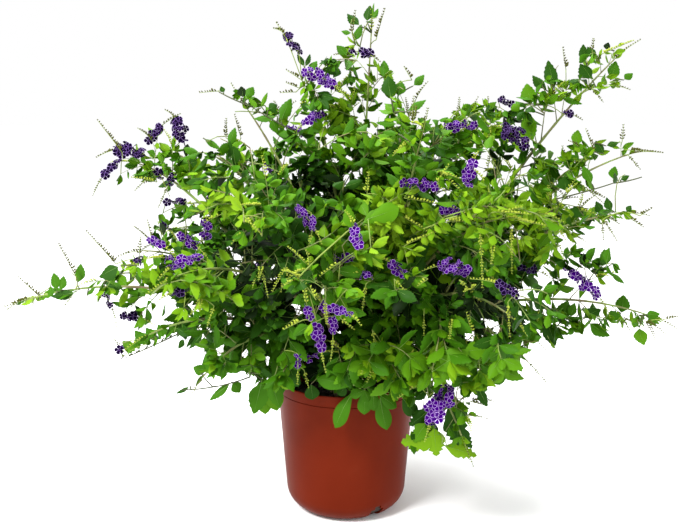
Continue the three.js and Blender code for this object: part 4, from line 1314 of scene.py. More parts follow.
# %% Dress twigs and leaders
SMALLER_ON_TWIGLETS = 0.86
LARGEST_AT_SKIN, SMALLEST_INSIDE = 34 * MM, 40 * MM
for twig in twigs:
    largest = mix(LARGEST_LEAF, LARGEST_AT_SKIN, twig.share**1.3)
    largest *= SMALLER_ON_TWIGLETS if twig.level == 2 else 1
    smallest = mix(SMALLEST_INSIDE, SMALLEST_LEAF, twig.share)
    dress(twig.curve, 0.18, twig.share, min(1, twig.share + 0.25), twig.seed * 3 + 1, largest, smallest)
for shoot in shoots:
    start = mix(shoot.wood.bare, 1, 0.12)
    dress(shoot.curve, start, 0.1, 1, shoot.seed * 31, LARGEST_LEAF, SMALLEST_LEAF)
print({name: len(rows) for name, rows in leaf_rows.items()})

# %% [markdown]
# ### From rows of numbers to blades
#
# A leaf's points are its midrib and its two edges. Each point is moved forward along the leaf, aside by
# its outline, and up or down by fold, droop and ripple. A leaf that droops reaches less far forward.

# %% Shape every leaf at once
RIPPLES, RIPPLE_SHIFT, RIPPLE_DEPTH = 9, 1.3, 0.035
DROOP_LOSS = 0.35


def leaf_columns(rows):
    table = np.array(rows)
    root, along, face = table[:, 0:3], table[:, 3:6], table[:, 6:9]
    length, width, droop, fold, wave, bend, form = table[:, 9:].T
    return root, along, face, np.cross(face, along), length, width, droop, fold, wave, bend, form


def leaf_points(rows):
    """Points of all leaves of a tint: the midrib, then both edges, in the order of the stations."""
    root, along, face, across, length, width, droop, fold, wave, bend, form = leaf_columns(rows)
    blunt, toothed = np.maximum(form, 0)[:, None], np.maximum(-form, 0)[:, None]
    outline = LEAF_EDGES + blunt * (BLUNT_EDGES - LEAF_EDGES) + toothed * TEETH
    lines = []
    for hand in (0, 1, -1):
        u = (LEAF_STATIONS if hand == 0 else LEAF_STATIONS[:-1])[None, :]
        edges = outline[:, : u.shape[1]]
        aside = hand * edges * width[:, None] / 2 + (bend * length)[:, None] * u**2
        ripple = np.sin(u * RIPPLES + wave[:, None] + hand * RIPPLE_SHIFT) * RIPPLE_DEPTH * width[:, None]
        lift = abs(hand) * (ripple - edges * (fold * width)[:, None]) - (droop * length)[:, None] * u**2
        forward = length[:, None] * u * (1 - DROOP_LOSS * (droop[:, None] * u) ** 2)
        steps = ((along, forward), (across, aside), (face, lift))
        lines.append(root[:, None, :] + sum(way[:, None, :] * size[..., None] for way, size in steps))
    return np.concatenate(lines, axis=1)


def leaf_faces():
    last = len(LEAF_STATIONS) - 1
    left, right = last + 1, 2 * last + 1
    faces = []
    for i in range(last - 1):
        faces.append((i, i + 1, left + i + 1, left + i))
        faces.append((i + 1, i, right + i, right + i + 1))
    return [*faces, (last - 1, last, left + last - 1), (last, last - 1, right + last - 1)]


def leaf_material(name, colour):
    """A waxy blade: fine veins by bump, and patches of more and less shine."""
    material, tree, shader = new_material("leaf_" + name, colour, 0.45)
    shader.inputs["Specular IOR Level"].default_value = 0.08
    bump(tree, shader, noise_node(tree, 420, 3), 0.35, 0.0006)
    varied_roughness(tree, shader, noise_node(tree, 60, 3), 0.42, 0.68)
    return material


for name, rows in leaf_rows.items():
    pile = Pile()
    pile.add_many(leaf_points(rows), leaf_faces())
    piece = pile.make("leaves_" + name, leaf_material(name, SPRAY_TINTS[name]))
    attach(piece, "root")
print(sum(len(rows) for rows in leaf_rows.values()), "leaves")

# %% [markdown]
# Each blade hangs on a short stalk that runs on as its midrib, paler than the blade. It is a thin
# three-sided sliver along the fold, which catches the light as a fine pale line.

# %% Stalks and midribs
RIB_STATIONS = [0.0, 0.1, 0.45, 0.86]
RIB_RADII = [0.75, 0.65, 0.38, 0.15]
RIB_SIDES = 3
RIB_LEAF = 50


def rib_points(rows):
    """The rings of all midribs: the radii are for a leaf of 50 mm and grow with the leaf."""
    root, along, face, across, length, width, droop, fold, wave, bend, form = leaf_columns(rows)
    rings = []
    for u, radius in zip(RIB_STATIONS, RIB_RADII):
        size = radius * length / RIB_LEAF
        forward = length * u * (1 - DROOP_LOSS * (droop * u) ** 2)
        middle = root + along * forward[:, None] + across * (bend * length * u**2)[:, None]
        middle = middle - face * (droop * length * u**2)[:, None]
        for angle in (pi / 2 + 2 * pi * k / RIB_SIDES for k in range(RIB_SIDES)):
            rings.append(middle + across * (size * cos(angle))[:, None] + face * (size * sin(angle))[:, None])
    return np.stack(rings, axis=1)


ribs = Pile()
every_row = [row for rows in leaf_rows.values() for row in rows]
ribs.add_many(rib_points(every_row), ring_faces(len(RIB_STATIONS), RIB_SIDES))
rib_material, rib_tree, rib_shader = new_material("leaf_ribs", plain_colour(88, 126, 30), 0.5)
varied_roughness(rib_tree, rib_shader, noise_node(rib_tree, 200), 0.4, 0.6)
rib_piece = ribs.make("leaf_ribs", rib_material)
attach(rib_piece, "root")

# %% [markdown]
# ## Fine wood
#
# Leaders and twigs are thin tubes along the same curves. Young duranta wood is four-sided, so the twigs
# have four sides, and the leaders are a little thicker where pairs of leaves stand. Their colour runs
# from green to brown. Twigs that stand against the light are a piece of their own, darker and a little
# stouter, because a bright ground eats into the edges of thin things.

# %% Leaders and twigs
LEADER_STEP = 16 * MM
JOINT, BETWEEN_JOINTS = 1.12, 0.94
TWIG_TAPER = 0.45
STALK_RADII = (1, 0.95, 0.9, 0.85, 0.7)
SHADED_GIRTH = 1.35
green_wood, shaded_wood = Pile(), Pile()
for shoot in shoots:
    bare = shoot.wood.bare
    steps = max(8, round(shoot.curve.length() * (1 - bare) / LEADER_STEP))
    shares = [i / steps for i in range(steps + 1)]
    middles = [shoot.curve.point(mix(bare - 0.01, 1, share)) for share in shares]
    swell = [JOINT if i % 2 else BETWEEN_JOINTS for i in range(steps + 1)]
    radii = [mix(LEADER.start, LEADER.end, share) * size for share, size in zip(shares, swell)]
    green_wood.add(*tube(middles, radii, 6))
for twig in twigs:
    steps = 5 if twig.level == 1 else 3
    radii = [twig.girth * mix(1, TWIG_TAPER, i / steps) for i in range(steps + 1)]
    green_wood.add(*tube(twig.curve.points(steps), radii, 4))
for curve in tuft_twigs:
    green_wood.add(*tube_on(curve, STALK_RADII, 4))
for curve in shaded_twigs:
    shaded_wood.add(*tube_on(curve, [SHADED_GIRTH * radius for radius in STALK_RADII], 4))

twig_material, twig_tree, twig_shader = new_material("green_wood", plain_colour(112, 128, 58), 0.6)
twig_stops = [(0.35, (104, 92, 58)), (0.6, (118, 142, 60))]
varied_colour(twig_tree, twig_shader, noise_node(twig_tree, 30), twig_stops)
twig_piece = green_wood.make("twigs", twig_material)
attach(twig_piece, "root")
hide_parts(*["foliage_" + shoot.name for shoot in shoots])
shaded_material, shaded_tree, shaded_shader = new_material("shaded_wood", plain_colour(58, 66, 26), 0.7)
varied_roughness(shaded_tree, shaded_shader, noise_node(shaded_tree, 60), 0.6, 0.8)
shaded_piece = shaded_wood.make("twigs_in_shade", shaded_material)
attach(shaded_piece, "root")

# %% [markdown]
# ## Trunk, stems and boughs
#
# The bark of the thicker wood is grey-brown, with low ridges that run along it and small raised pores
# across. Rings of points follow each limb's curve, and noise that is stretched along the limb moves
# them in and out. The trunk widens into lobes where its roots leave it below the potting mix.

# %% Wood with relief
RIDGE, PORE, SQUARE = 0.09, 0.05, 0.05
RIDGE_TURNS, PORE_TURNS = 2.2, 4
RIDGE_STEP, PORE_STEP = 0.16, 0.9
WOOD_STEP = 4.5 * MM


def rough_limb(pile, middle_at, radius_at, length, sides, seed):
    """A limb whose points are moved in and out by ridges and pores."""
    steps = max(6, int(length / WOOD_STEP))
    middles = [middle_at(i / steps) for i in range(steps + 1)]
    points, faces = tube(middles, [1] * (steps + 1), sides)
    moved = []
    for index, point in enumerate(points):
        i, k = divmod(index, sides)
        angle = 2 * pi * k / sides
        round_it = Vector((cos(angle), sin(angle), 0))
        ridge = noise.noise(round_it * RIDGE_TURNS + UP * (i * RIDGE_STEP + seed))
        pore = noise.noise(round_it * PORE_TURNS + UP * (i * PORE_STEP + seed * 3))
        size = radius_at(i / steps, angle) * (1 + SQUARE * cos(4 * angle)) * (1 + RIDGE * ridge + PORE * pore)
        moved.append(tuple(middles[i] + (Vector(point) - middles[i]) * size))
    pile.add(moved, faces)


TRUNK_TOP, TRUNK_BOTTOM = 19 * MM, 28 * MM
LOBES, LOBE_DEPTH = 5, 0.16
TRUNK_BELOW = 3 * MM


def trunk_radius(share, angle):
    flare = (1 - share) ** 3
    return mix(TRUNK_TOP, TRUNK_BOTTOM, flare) * (1 + LOBE_DEPTH * flare * cos(LOBES * angle))


def trunk_middle(t):
    return Vector((TRUNK_LEAN * t, 0, SOIL_CROWN - TRUNK_BELOW + t * (TRUNK_HEIGHT + TRUNK_BELOW)))


wood = Pile()
rough_limb(wood, trunk_middle, trunk_radius, TRUNK_HEIGHT, 20, 1)
for shoot in shoots:
    bare, size = shoot.wood.bare, shoot.wood
    rough_limb(
        wood,
        lambda t: shoot.curve.point(t * bare),
        lambda t, angle: mix(size.start, size.end, t),
        shoot.curve.length() * bare,
        12,
        shoot.seed,
    )
print(len(wood.points), "limbs with relief")

# %% [markdown]
# One cloud of noise does two things for the bark. It moves the colour between three greys and browns,
# and by bump it gives the small scales, which as real faces would be far too many.

# %% Bark
bark_material, bark_tree, bark_shader = new_material("bark", plain_colour(128, 112, 84), 0.85)
bark_cloud = noise_node(bark_tree, 90, 6, 0.65)
bark_stops = [(0.3, (86, 70, 48)), (0.55, (134, 118, 88)), (0.75, (160, 148, 116))]
varied_colour(bark_tree, bark_shader, bark_cloud, bark_stops)
bump(bark_tree, bark_shader, bark_cloud, 0.6, 0.002)
wood_piece = wood.make("bark_wood", bark_material)
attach(wood_piece, "root")
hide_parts("trunk", *[shoot.limb for shoot in shoots])

# %% [markdown]
# ## Flowers
#
# A raceme is a thin stalk that hangs from a twig end. Small flowers stand round it on short necks, open
# ones in a cluster near its start, then green buds to its tip. Each flower has five rounded petals,
# violet with a pale edge. The pale edge is a piece of its own: a narrow band round each petal. One
# floret with a radius of 1 is made first, and copies of its points are set in place many times.

# %% One floret
FLORET_RADIUS = 7.4 * MM
PETALS = 5
PETAL_LINE = [(0.12, 0.05), (0.44, 0.30), (0.70, 0.45), (0.91, 0.36), (1.02, 0.0)]
PETAL_MIDDLE = 0.58
PETAL_REFLEX, PETAL_CUP = 0.16, 0.28
EDGE_SHARE = 0.915

# Points round one petal, as (out, aside) shares of the floret's radius, and the same line drawn in.
outer_line = [*PETAL_LINE, *[(out, -aside) for out, aside in reversed(PETAL_LINE[:-1])]]
inner_line = [(mix(PETAL_MIDDLE, out, EDGE_SHARE), aside * EDGE_SHARE) for out, aside in outer_line]


def cupped(line, turn):
    """A petal's points, turned into place, raised at their edges and bent back at their outer end."""
    points = []
    for out, aside in line:
        x, y = out * cos(turn) - aside * sin(turn), out * sin(turn) + aside * cos(turn)
        points.append((x, y, PETAL_CUP * abs(aside) - PETAL_REFLEX * out**2))
    return points


petal_points, petal_faces, edge_points, edge_faces = [], [], [], []
for petal in range(PETALS):
    turn = 2 * pi * petal / PETALS
    size = len(inner_line)
    petal_faces.append(tuple(range(len(petal_points), len(petal_points) + size)))
    petal_points += cupped(inner_line, turn)
    band = ring_faces(2, size)
    edge_faces += [tuple(i + len(edge_points) for i in face) for face in band]
    edge_points += cupped(inner_line, turn) + cupped(outer_line, turn)
throat_points, throat_faces = tube([(0, 0, -1.0), (0, 0, -0.5), (0, 0, -0.02)], [0.09, 0.12, 0.2], 5)
petal_faces += [tuple(i + len(petal_points) for i in face) for face in throat_faces]
petal_points = np.array(petal_points + throat_points)
edge_points = np.array(edge_points)
print(len(petal_faces), "faces of violet and", len(edge_faces), "of the pale edge in a floret")

# %% [markdown]
# A bud is only a few millimetres long, so eight faces are enough for it. A neck is a three-sided tube.
# Both start at the origin and point along Z, so that one turn aims them.

# %% One bud and one neck
BUD_FACES = [(0, 1, 2), (0, 2, 3), (0, 3, 4), (0, 4, 1), (5, 2, 1), (5, 3, 2), (5, 4, 3), (5, 1, 4)]
BUD_POINTS = [(0, 0, 0), (0.24, 0, 0.6), (0, 0.24, 0.6), (-0.24, 0, 0.6), (0, -0.24, 0.6), (0, 0, 1)]
BUD_POINTS = np.array(BUD_POINTS)
NECK_POINTS, NECK_FACES = tube([(0, 0, 0), (0, 0, 1)], [0.06, 0.1], 3)
NECK_POINTS = np.array(NECK_POINTS)


def placed(points, at, way, spin, size):
    """A form at its size, spun about its Z, with Z turned to a way, and moved to its place."""
    turn = Vector(way).to_track_quat("Z", "Y").to_matrix() @ Matrix.Rotation(spin, 3, "Z")
    return (points * size) @ np.array(turn).T + np.array(at)


print(len(BUD_FACES), "faces in a bud and", len(NECK_FACES), "in a neck")

# %% [markdown]
# ### Racemes and bud spikes
#
# Each raceme starts at its twig's end, runs through the middle of its cluster and goes on as a tail of
# buds. The florets turn round it by the golden angle and face outwards and to the light. Tips without
# flowers end in a plain spike of buds. Buds that stand out into the sky are dark against the light, so
# they are a piece of their own, as are the florets of the dark clusters.

# %% A spike of buds
buds, sky_buds = [], []
stalks = Pile()
HANGING = SimpleNamespace(gap=4.2 * MM, size=0.72, pitch=42, least=-0.55)
STANDING = SimpleNamespace(gap=4.8 * MM, size=1, pitch=58)
SPIKE_RADII = (0.8, 0.7, 0.6, 0.5, 0.3)


def add_spike(start, along, length, numbers, bud=7.0 * MM, sag=0.4, sway=0.35):
    """A thin bowed axis with two rows of buds that stand up from it and grow smaller to its tip."""
    bend = start + along * length * 0.5
    turn = Vector((play(numbers, sway), play(numbers, sway), play(numbers, sway / 2)))
    end = bend + (along - UP * sag + turn).normalized() * length * 0.5
    curve = Curve(start, bend, end)
    stalks.add(*tube_on(curve, SPIKE_RADII, 3))
    sets = buds if is_inside_outline(end) else sky_buds
    hangs = along.z < HANGING.least
    habit = HANGING if hangs else STANDING
    count = int(length / habit.gap)
    for i in range(count):
        t = (i + 1) / (count + 0.5)
        place = station(curve, t)
        size = bud * mix(1, 0.42, t) * (1 + play(numbers, 0.2)) * habit.size
        for hand in (-1, 1):
            roll = pi / 2 + hand * (0.75 + play(numbers, 0.25))
            if hangs:
                roll = radians(GOLDEN_TURN * i) + hand * pi / 2
            way = leaning(place, radians(habit.pitch + play(numbers, 12)), roll)
            sets.append(placed(BUD_POINTS, place.root, way, 0, size))


print("a standing spike of 48 mm has", 2 * round(48 * MM / STANDING.gap), "buds")

# %% A raceme
petals, petal_edges = {False: [], True: []}, {False: [], True: []}
necks = []
TOWARDS_LIGHT = 0.55
FLORET_ROOM = 100 * MM**2
WIDE_CLUSTER, FULLNESS = 30 * MM, 1.4
RACEME_STALK_RADII = (1.0, 0.9, 0.9, 0.8, 0.8)


def add_raceme(raceme):
    numbers = numbers_from(raceme.seed * 5 + 2)
    start, middle, half = raceme.twig.curve.end, raceme.middle, raceme.hang * raceme.length / 2
    axis = Curve(middle - half, middle + UP * 0.08 * raceme.length, middle + half)
    if (axis.end - start).length < (axis.start - start).length:
        axis = Curve(axis.end, axis.bend, axis.start)
    lift = UP * 0.15 * (axis.start - start).length
    stalks.add(*tube_on(Curve(start, start.lerp(axis.start, 0.5) + lift, axis.start), RACEME_STALK_RADII, 3))
    stalks.add(*tube_on(axis, [0.8] * 5, 3))
    ring = max(3 * MM, raceme.width / 2 - FLORET_RADIUS * 0.8)
    fullness = FULLNESS if raceme.width > WIDE_CLUSTER else 1
    count = max(3, round(fullness * raceme.length * raceme.width / FLORET_ROOM))
    for i in range(count):
        t = (i + 0.5) / count
        place = station(axis, t)
        taper = sqrt(max(0.15, 1 - (2 * t - 1) ** 2))
        roll = radians(GOLDEN_TURN * i + play(numbers, 30))
        out = leaning(place, radians(74 + play(numbers, 24)), roll)
        at = place.root + out * ring * taper * (1 + play(numbers, 0.4)) + place.along * play(numbers, 3) * MM
        sway = play_each_way(numbers, 0.9)
        radius = FLORET_RADIUS * (1 + play(numbers, 0.26))
        spin = next(numbers) * 2 * pi
        facing = (out + UP * 0.15 + sway - LOOK * TOWARDS_LIGHT).normalized()
        petals[raceme.is_dark].append(placed(petal_points, at, facing, spin, radius))
        petal_edges[raceme.is_dark].append(placed(edge_points, at, facing, spin, radius))
        neck = at - place.root
        necks.append(placed(NECK_POINTS, place.root, neck, 0, neck.length))
    way = axis.along(1)
    add_spike(axis.end, (way - UP * 0.15).normalized(), mix(20, 44, next(numbers)) * MM, numbers)


print("a floret is", round(2 * FLORET_RADIUS / MM, 1), "mm across")

# %% [markdown]
# The strings of buds that stand out in the photograph are read off it, and so are a few long
# light stems that cross the front of the crown. A string grows from a stalk if one is near, and
# otherwise from the nearest wood, a little before the leaves there.

# %% Bud strings and light stems
# from the wood to the tip, as pixels: first the strings before the crown, then those against the sky
BUD_STRINGS = [
    (368, 226, 379, 264), (480, 228, 484, 288), (511, 226, 513, 274), (404, 198, 458, 206),
    (401, 216, 428, 230), (340, 262, 319, 276), (303, 320, 283, 329), (367, 194, 369, 172),
    (437, 184, 449, 164), (366, 284, 362, 313), (394, 279, 416, 300), (340, 318, 355, 329),
    (327, 340, 343, 350), (316, 300, 310, 286), (304, 370, 309, 388), (422, 352, 397, 362),
    (417, 385, 397, 398), (459, 280, 482, 301), (428, 279, 417, 286), (508, 302, 510, 337),
    (424, 316, 424, 336), (408, 352, 433, 360), (462, 372, 492, 380), (446, 222, 486, 214),
    (494, 212, 532, 213), (546, 220, 560, 232), (244, 216, 262, 234), (222, 214, 204, 222),
    (148, 178, 134, 190), (444, 386, 432, 374), (312, 232, 308, 247), (372, 330, 378, 352),
    (472, 334, 466, 312), (540, 300, 536, 330), (214, 306, 206, 328), (122, 152, 97, 119),
    (116, 264, 86, 230), (76, 276, 58, 243), (40, 297, 18, 276), (226, 138, 226, 118),
    (241, 138, 234, 114), (286, 38, 276, 22), (376, 40, 384, 8), (566, 70, 562, 47), (602, 54, 634, 39),
    (628, 150, 664, 151), (622, 142, 624, 124), (602, 220, 604, 240), (603, 219, 618, 240),
    (664, 320, 678, 316), (592, 52, 594, 38), (594, 152, 586, 128), (592, 88, 604, 102),
    (412, 80, 404, 66), (352, 34, 356, 10), (300, 79, 286, 69), (219, 91, 199, 92), (640, 216, 652, 208),
    (628, 155, 641, 169), (30, 298, 4, 306), (296, 92, 280, 92), (299, 88, 286, 82), (157, 182, 131, 176),
    (628, 217, 644, 227), (404, 246, 432, 232), (424, 238, 452, 224), (452, 222, 478, 220),
    (500, 214, 522, 206), (514, 220, 546, 224), (556, 222, 566, 240), (586, 190, 605, 197),
    (558, 201, 572, 217),
]
LIGHT_STEMS = [
    (297, 279, 340, 238), (340, 238, 367, 217), (367, 217, 398, 197), (407, 391, 430, 382),
    (430, 382, 454, 377), (409, 237, 436, 224), (436, 224, 457, 216),
]
STRING_BUD, STRING_SAG, STRING_SWAY = 8.5 * MM, 0.1, 0.05
BEFORE_LEAVES, BEFORE_TWIGS = 0.025, 0.02
for index, (across, down, end_across, end_down) in enumerate(BUD_STRINGS):
    numbers = numbers_from(7000 + index)
    depth, root = seat_of(across, down)
    if root is None:
        depth = depth_in_front(across, down) - BEFORE_LEAVES
    start, end = at_pixel(across, down, depth), at_pixel(end_across, end_down, depth)
    stalks.add(*tube_on(arching(root or nearest_wood(start), start, 4), [0.9] * 5, 3))
    way = end - start
    add_spike(start, way.normalized(), way.length, numbers, STRING_BUD, STRING_SAG, STRING_SWAY)
for x0, y0, x1, y1 in LIGHT_STEMS:
    start, end = [at_pixel(x, y, depth_in_front(x, y) - BEFORE_TWIGS) for x, y in ((x0, y0), (x1, y1))]
    stalks.add(*tube([start, start.lerp(end, 0.5) + UP * 2 * MM, end], [1.3 * MM, 1.2 * MM, 1.1 * MM], 5))
print(len(BUD_STRINGS), "strings of buds,", len(LIGHT_STEMS), "light stems")

# %% [markdown]
# Then every raceme is grown, every leader ends in a spike, and so do some of the twigs at the crown's
# skin, in fans of one to three.

# %% Grow them all
SKIN = 0.68
SPIKE_CHANCE = {1: 0.42, 2: 0.14}
for raceme in racemes:
    add_raceme(raceme)
for shoot in shoots:
    numbers = numbers_from(shoot.seed * 13 + 5)
    place = station(shoot.curve, 1)
    add_spike(place.root, place.along, mix(40, 62, next(numbers)) * MM, numbers)
for twig in twigs:
    numbers = numbers_from(twig.seed * 13 + 5)
    if id(twig) in taken or outness(twig.curve.end) <= SKIN or next(numbers) >= SPIKE_CHANCE[twig.level]:
        continue
    place = station(twig.curve, 1)
    for k in range(1 + int(2.6 * next(numbers))):
        way = leaning(place, radians(12 + 22 * k), radians(GOLDEN_TURN * k + play(numbers, 60)))
        add_spike(place.root, way, mix(28, 52, next(numbers)) * MM, numbers)
print(sum(len(sets) for sets in petals.values()), "florets,", len(buds) + len(sky_buds), "buds")

# %% [markdown]
# Petals, buds and stalks are soft and nearly without shine. Their finish is one colour with a fine
# bump, and every kind and tint is one piece.

# %% Flower pieces


def pile_of(sets, faces):
    pile = Pile()
    pile.add_many(np.stack(sets), faces)
    return pile


FLOWER_PIECES = [
    ("petals", pile_of(petals[False], petal_faces), (50, 0, 96), "blossom"),
    ("petals_in_shade", pile_of(petals[True], petal_faces), (12, 1, 30), "blossom"),
    ("petal_edges", pile_of(petal_edges[False], edge_faces), (190, 150, 222), "petal_edge"),
    ("petal_edges_in_shade", pile_of(petal_edges[True], edge_faces), (118, 86, 158), "petal_edge"),
    ("flower_necks", pile_of(necks, NECK_FACES), (54, 34, 70), "blossom"),
    ("buds", pile_of(buds, BUD_FACES), (150, 164, 58), "buds"),
    ("buds_in_shade", pile_of(sky_buds, BUD_FACES), (76, 78, 34), "buds"),
    ("flower_stalks", stalks, (128, 146, 70), "buds"),
]
for name, pile, colour, slot in FLOWER_PIECES:
    flower_material, flower_tree, flower_shader = new_material(name, plain_colour(*colour), 0.6)
    flower_shader.inputs["Specular IOR Level"].default_value = 0.02
    bump(flower_tree, flower_shader, noise_node(flower_tree, 300), 0.3, 0.0004)
    piece = pile.make(name, flower_material)
    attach(piece, "root")

# %% [markdown]
# ## The pot
#
# The pot is turned: a line from the middle of its underside, out round the soft foot, up the tapered
# wall to the groove and the band, over the lip and down the inside. A cone with loops cut into it would
# do too, but a line keeps every rounding in one list. It is spun in 160 steps, so that no flats show.

# %% Turn the pot
POT_STEPS = 160
FOOT_ROUND = 40 * MM
WALL = 2.6 * MM
FLOOR_THICK = 3 * MM
BAND_FOOT = POT_HEIGHT - 19 * MM
GROOVE_FOOT = BAND_FOOT - 2.4 * MM


def foot_arc(inset, bottom, degrees):
    radius = FOOT_ROUND - inset
    height = bottom + radius
    out = wall_radius(height) - inset - radius
    return [(out + radius * sin(radians(d)), height - radius * cos(radians(d))) for d in degrees]


def turned(name, line, steps):
    """Spins a line of (out, height) about the Z axis."""
    form = bmesh.new()
    angles = [2 * pi * k / steps for k in range(steps)]
    rings = []
    for out, height in line:
        round_it = angles if out else [0]
        rings.append([form.verts.new((out * cos(a), out * sin(a), height)) for a in round_it])
    for low, high in zip(rings, rings[1:]):
        for k in range(steps):
            j = (k + 1) % steps
            corners = [low[k % len(low)], low[j % len(low)], high[j % len(high)], high[k % len(high)]]
            form.faces.new(list(dict.fromkeys(corners)))
    bmesh.ops.recalc_face_normals(form, faces=form.faces)
    return object_of(form, name)


# How far the groove, the band and the lip stand out from the wall or the rim, and at what height.
groove_and_band = [
    (wall_radius(GROOVE_FOOT) - 1.0 * MM, GROOVE_FOOT + 0.5 * MM),
    (wall_radius(BAND_FOOT) - 1.2 * MM, BAND_FOOT - 1.0 * MM),
    (wall_radius(BAND_FOOT) - 0.6 * MM, BAND_FOOT),
    (wall_radius(BAND_FOOT) + 1.2 * MM, BAND_FOOT + 0.3 * MM),
    (wall_radius(BAND_FOOT) + 1.5 * MM, BAND_FOOT + 1.2 * MM),
]
lip = [(0.1, 3), (0.1, 1.4), (0.6, 0.4), (1.3, 0), (2.1, 0.4), (WALL / MM, 1.4)]
pot_line = [
    (0, 0),
    *foot_arc(0, 0, range(0, 91, 9)),
    *[(wall_radius(h), h) for h in np.linspace(FOOT_ROUND, GROOVE_FOOT, 8)[1:]],
    *groove_and_band,
    *[(POT_RIM - inset * MM, POT_HEIGHT - below * MM) for inset, below in lip],
    *foot_arc(WALL, FLOOR_THICK, range(90, -1, -15)),
    (0, FLOOR_THICK),
]
pot = turned("nursery_pot", pot_line, POT_STEPS)
print(len(pot_line), "points in the pot's line")

# %% [markdown]
# Three drain slots go through the foot's edge. Each is a rounded block that a Boolean modifier takes
# out of the pot, because slots that are made of the wall's own faces would break its even rings.

# %% Cut the drain slots
SLOT_HEADINGS = (302, 62, 182)
SLOT_WIDTH, SLOT_HEIGHT, SLOT_DEPTH = 26 * MM, 30 * MM, 34 * MM
SLOT_CORNER = 7 * MM
for heading in SLOT_HEADINGS:
    form = bmesh.new()
    bmesh.ops.create_cube(form, size=1)
    bmesh.ops.scale(form, vec=(SLOT_DEPTH, SLOT_WIDTH, SLOT_HEIGHT * 2), verts=form.verts)
    edges = [e for e in form.edges if abs(e.verts[0].co.x - e.verts[1].co.x) > SLOT_DEPTH / 2]
    bmesh.ops.bevel(form, geom=edges, offset=SLOT_CORNER, segments=4, affect="EDGES")
    turn = Matrix.Rotation(radians(heading), 4, "Z")
    outwards = Matrix.Translation((POT_FOOT + WALL - SLOT_DEPTH / 2, 0, 0))
    bmesh.ops.transform(form, matrix=turn @ outwards, verts=form.verts)
    cutter = object_of(form, "cutter")
    cut = pot.modifiers.new("slot", "BOOLEAN")
    cut.object = cutter
    cut.operation = "DIFFERENCE"
    cut.solver = "EXACT"
    bpy.context.view_layer.update()
    cut_mesh = bpy.data.meshes.new_from_object(pot.evaluated_get(bpy.context.evaluated_depsgraph_get()))
    pot.modifiers.clear()
    pot.data = cut_mesh
    bpy.data.objects.remove(cutter)
pot.data.polygons.foreach_set("use_smooth", [True] * len(pot.data.polygons))
crease = pot.modifiers.new("crease", "EDGE_SPLIT")
crease.split_angle = radians(35)
print("pot with", len(pot.data.polygons), "faces")

# %% [markdown]
# Its plastic is terracotta brown and half glossy. Mould flow leaves faint upright streaks of shine,
# which is noise that is stretched along the height, and watering leaves dull, slightly paler patches.

# %% Pot plastic
pot_material, pot_tree, pot_shader = new_material("pot_plastic", plain_colour(96, 28, 8), 0.4)
pot_shader.inputs["Specular IOR Level"].default_value = 0.04
varied_roughness(pot_tree, pot_shader, noise_node(pot_tree, 1, 4, 0.5, stretch=(60, 60, 5)), 0.3, 0.48)
pot_stops = [(0.3, (92, 25, 6)), (0.62, (98, 28, 8)), (0.85, (105, 35, 15))]
varied_colour(pot_tree, pot_shader, noise_node(pot_tree, 14, 5), pot_stops)
bump(pot_tree, pot_shader, noise_node(pot_tree, 900, 2), 0.12, 0.0004)
pot.data.materials.clear()
pot.data.materials.append(pot_material)
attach(pot, "root")
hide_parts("pot")
print("plastic on", pot.name)

# %% [markdown]
# ## Potting mix
#
# The mix is a low mound of chips and crumbs. A disc with a fine grid is lifted by noise of two sizes,
# and its skirt fills the pot below.

# %% The mound
SOIL_RINGS, SOIL_STEPS = 46, 120
SOIL_CLEAR = 0.3 * MM
MOUND_TOP = 40 * MM
INSIDE_CLEAR = 1 * MM
INSIDE_HEIGHT = 140 * MM
soil_edge = wall_radius(SOIL_EDGE) - WALL - SOIL_CLEAR
soil = Pile()


def soil_height(x, y):
    mound = mix(SOIL_CROWN, SOIL_EDGE, max(0, (hypot(x, y) - MOUND_TOP) / (soil_edge - MOUND_TOP)))
    lumps = 2.4 * MM * noise.noise(Vector((x * 60, y * 60, 1)))
    crumbs = 1.6 * MM * noise.noise(Vector((x * 190, y * 190, 7)))
    return mound - 2 * MM + lumps + crumbs


circle = [(cos(a), sin(a)) for a in (2 * pi * k / SOIL_STEPS for k in range(SOIL_STEPS))]
soil_points = [(0, 0, soil_height(0, 0))]
for out in (soil_edge * ring / SOIL_RINGS for ring in range(1, SOIL_RINGS + 1)):
    soil_points += [(out * x, out * y, soil_height(out * x, out * y)) for x, y in circle]
skirt = [
    (wall_radius(INSIDE_HEIGHT) - WALL - INSIDE_CLEAR, INSIDE_HEIGHT),
    *foot_arc(WALL + INSIDE_CLEAR, FLOOR_THICK + INSIDE_CLEAR, range(90, 0, -15)),
]
for out, height in skirt:
    soil_points += [(out * x, out * y, height) for x, y in circle]
rings = SOIL_RINGS + len(skirt)
soil_faces = [(0, 1 + k, 1 + (k + 1) % SOIL_STEPS) for k in range(SOIL_STEPS)]
soil_faces += [tuple(1 + i for i in (a, d, c, b)) for a, b, c, d in ring_faces(rings, SOIL_STEPS)]
soil_faces.append(tuple(1 + (rings - 1) * SOIL_STEPS + k for k in range(SOIL_STEPS)))
soil.add(soil_points, soil_faces)
print("mound", round(2 * soil_edge / MM), "mm across")

# %% [markdown]
# A few hundred chips of bark lie on the mound, each an uneven block turned by chance. The finish is
# dull, from nearly black to pale brown, and its faces stay flat, because crumbs have no round edges.

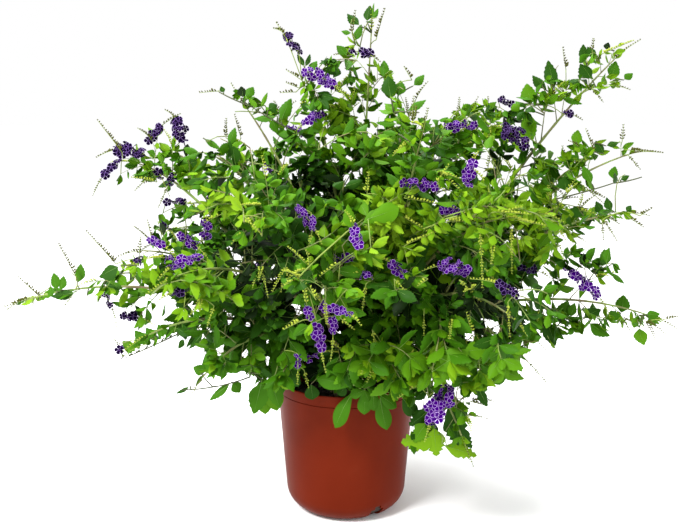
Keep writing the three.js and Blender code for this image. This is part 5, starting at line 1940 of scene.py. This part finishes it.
# %% Chips of bark, and the mix's finish
CHIPS = 700
TRUNK_ROOM = 34 * MM
CHIP_CORNERS = [
    (-1, -1, -1), (1, -1, -1), (1, 1, -1), (-1, 1, -1),
    (-0.8, -0.7, 1), (0.8, -0.8, 1), (0.7, 0.8, 1), (-0.8, 0.8, 1),
]
CHIP_FACES = [(0, 3, 2, 1), (4, 5, 6, 7), (0, 1, 5, 4), (1, 2, 6, 5), (2, 3, 7, 6), (3, 0, 4, 7)]
numbers = numbers_from(77)
for _ in range(CHIPS):
    out = soil_edge * sqrt(next(numbers)) * 0.96
    a = next(numbers) * 2 * pi
    if out < TRUNK_ROOM:
        continue
    x, y = out * cos(a), out * sin(a)
    length = mix(1.2, 5, next(numbers) ** 2)
    size = Vector((length, mix(0.9, 2.6, next(numbers)), mix(0.5, 1.2, next(numbers)))) * MM
    turn = Matrix.Rotation(next(numbers) * 2 * pi, 3, "Z") @ Matrix.Rotation(play(numbers, 0.5), 3, "X")
    at = Vector((x, y, soil_height(x, y) + 0.5 * MM))
    corners = [at + turn @ Vector([c * s for c, s in zip(corner, size)]) for corner in CHIP_CORNERS]
    soil.add([tuple(corner) for corner in corners], CHIP_FACES)
soil_material, soil_tree, soil_shader = new_material("potting_mix", plain_colour(52, 42, 36), 0.95)
soil_cloud = noise_node(soil_tree, 240, 6, 0.7)
soil_stops = [(0.3, (24, 18, 15)), (0.55, (54, 42, 34)), (0.78, (96, 76, 58))]
varied_colour(soil_tree, soil_shader, soil_cloud, soil_stops)
bump(soil_tree, soil_shader, soil_cloud, 0.8, 0.002)
soil_piece = soil.make("mix_surface", soil_material, smooth=False)
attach(soil_piece, "root")
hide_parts("potting_mix")

# %% [markdown]
# ## Both boxes
#
# How far the dressed plant reaches past the measured one is printed, below and above on each axis. The
# dressed plant must stay within a small margin of the measured one.

# %% Write both boxes
seen_low, seen_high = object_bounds()
for axis in range(3):
    below, above = cad_low[axis] - seen_low[axis], seen_high[axis] - cad_high[axis]
    print("XYZ"[axis], "below", round(below / MM), "mm, above", round(above / MM), "mm")
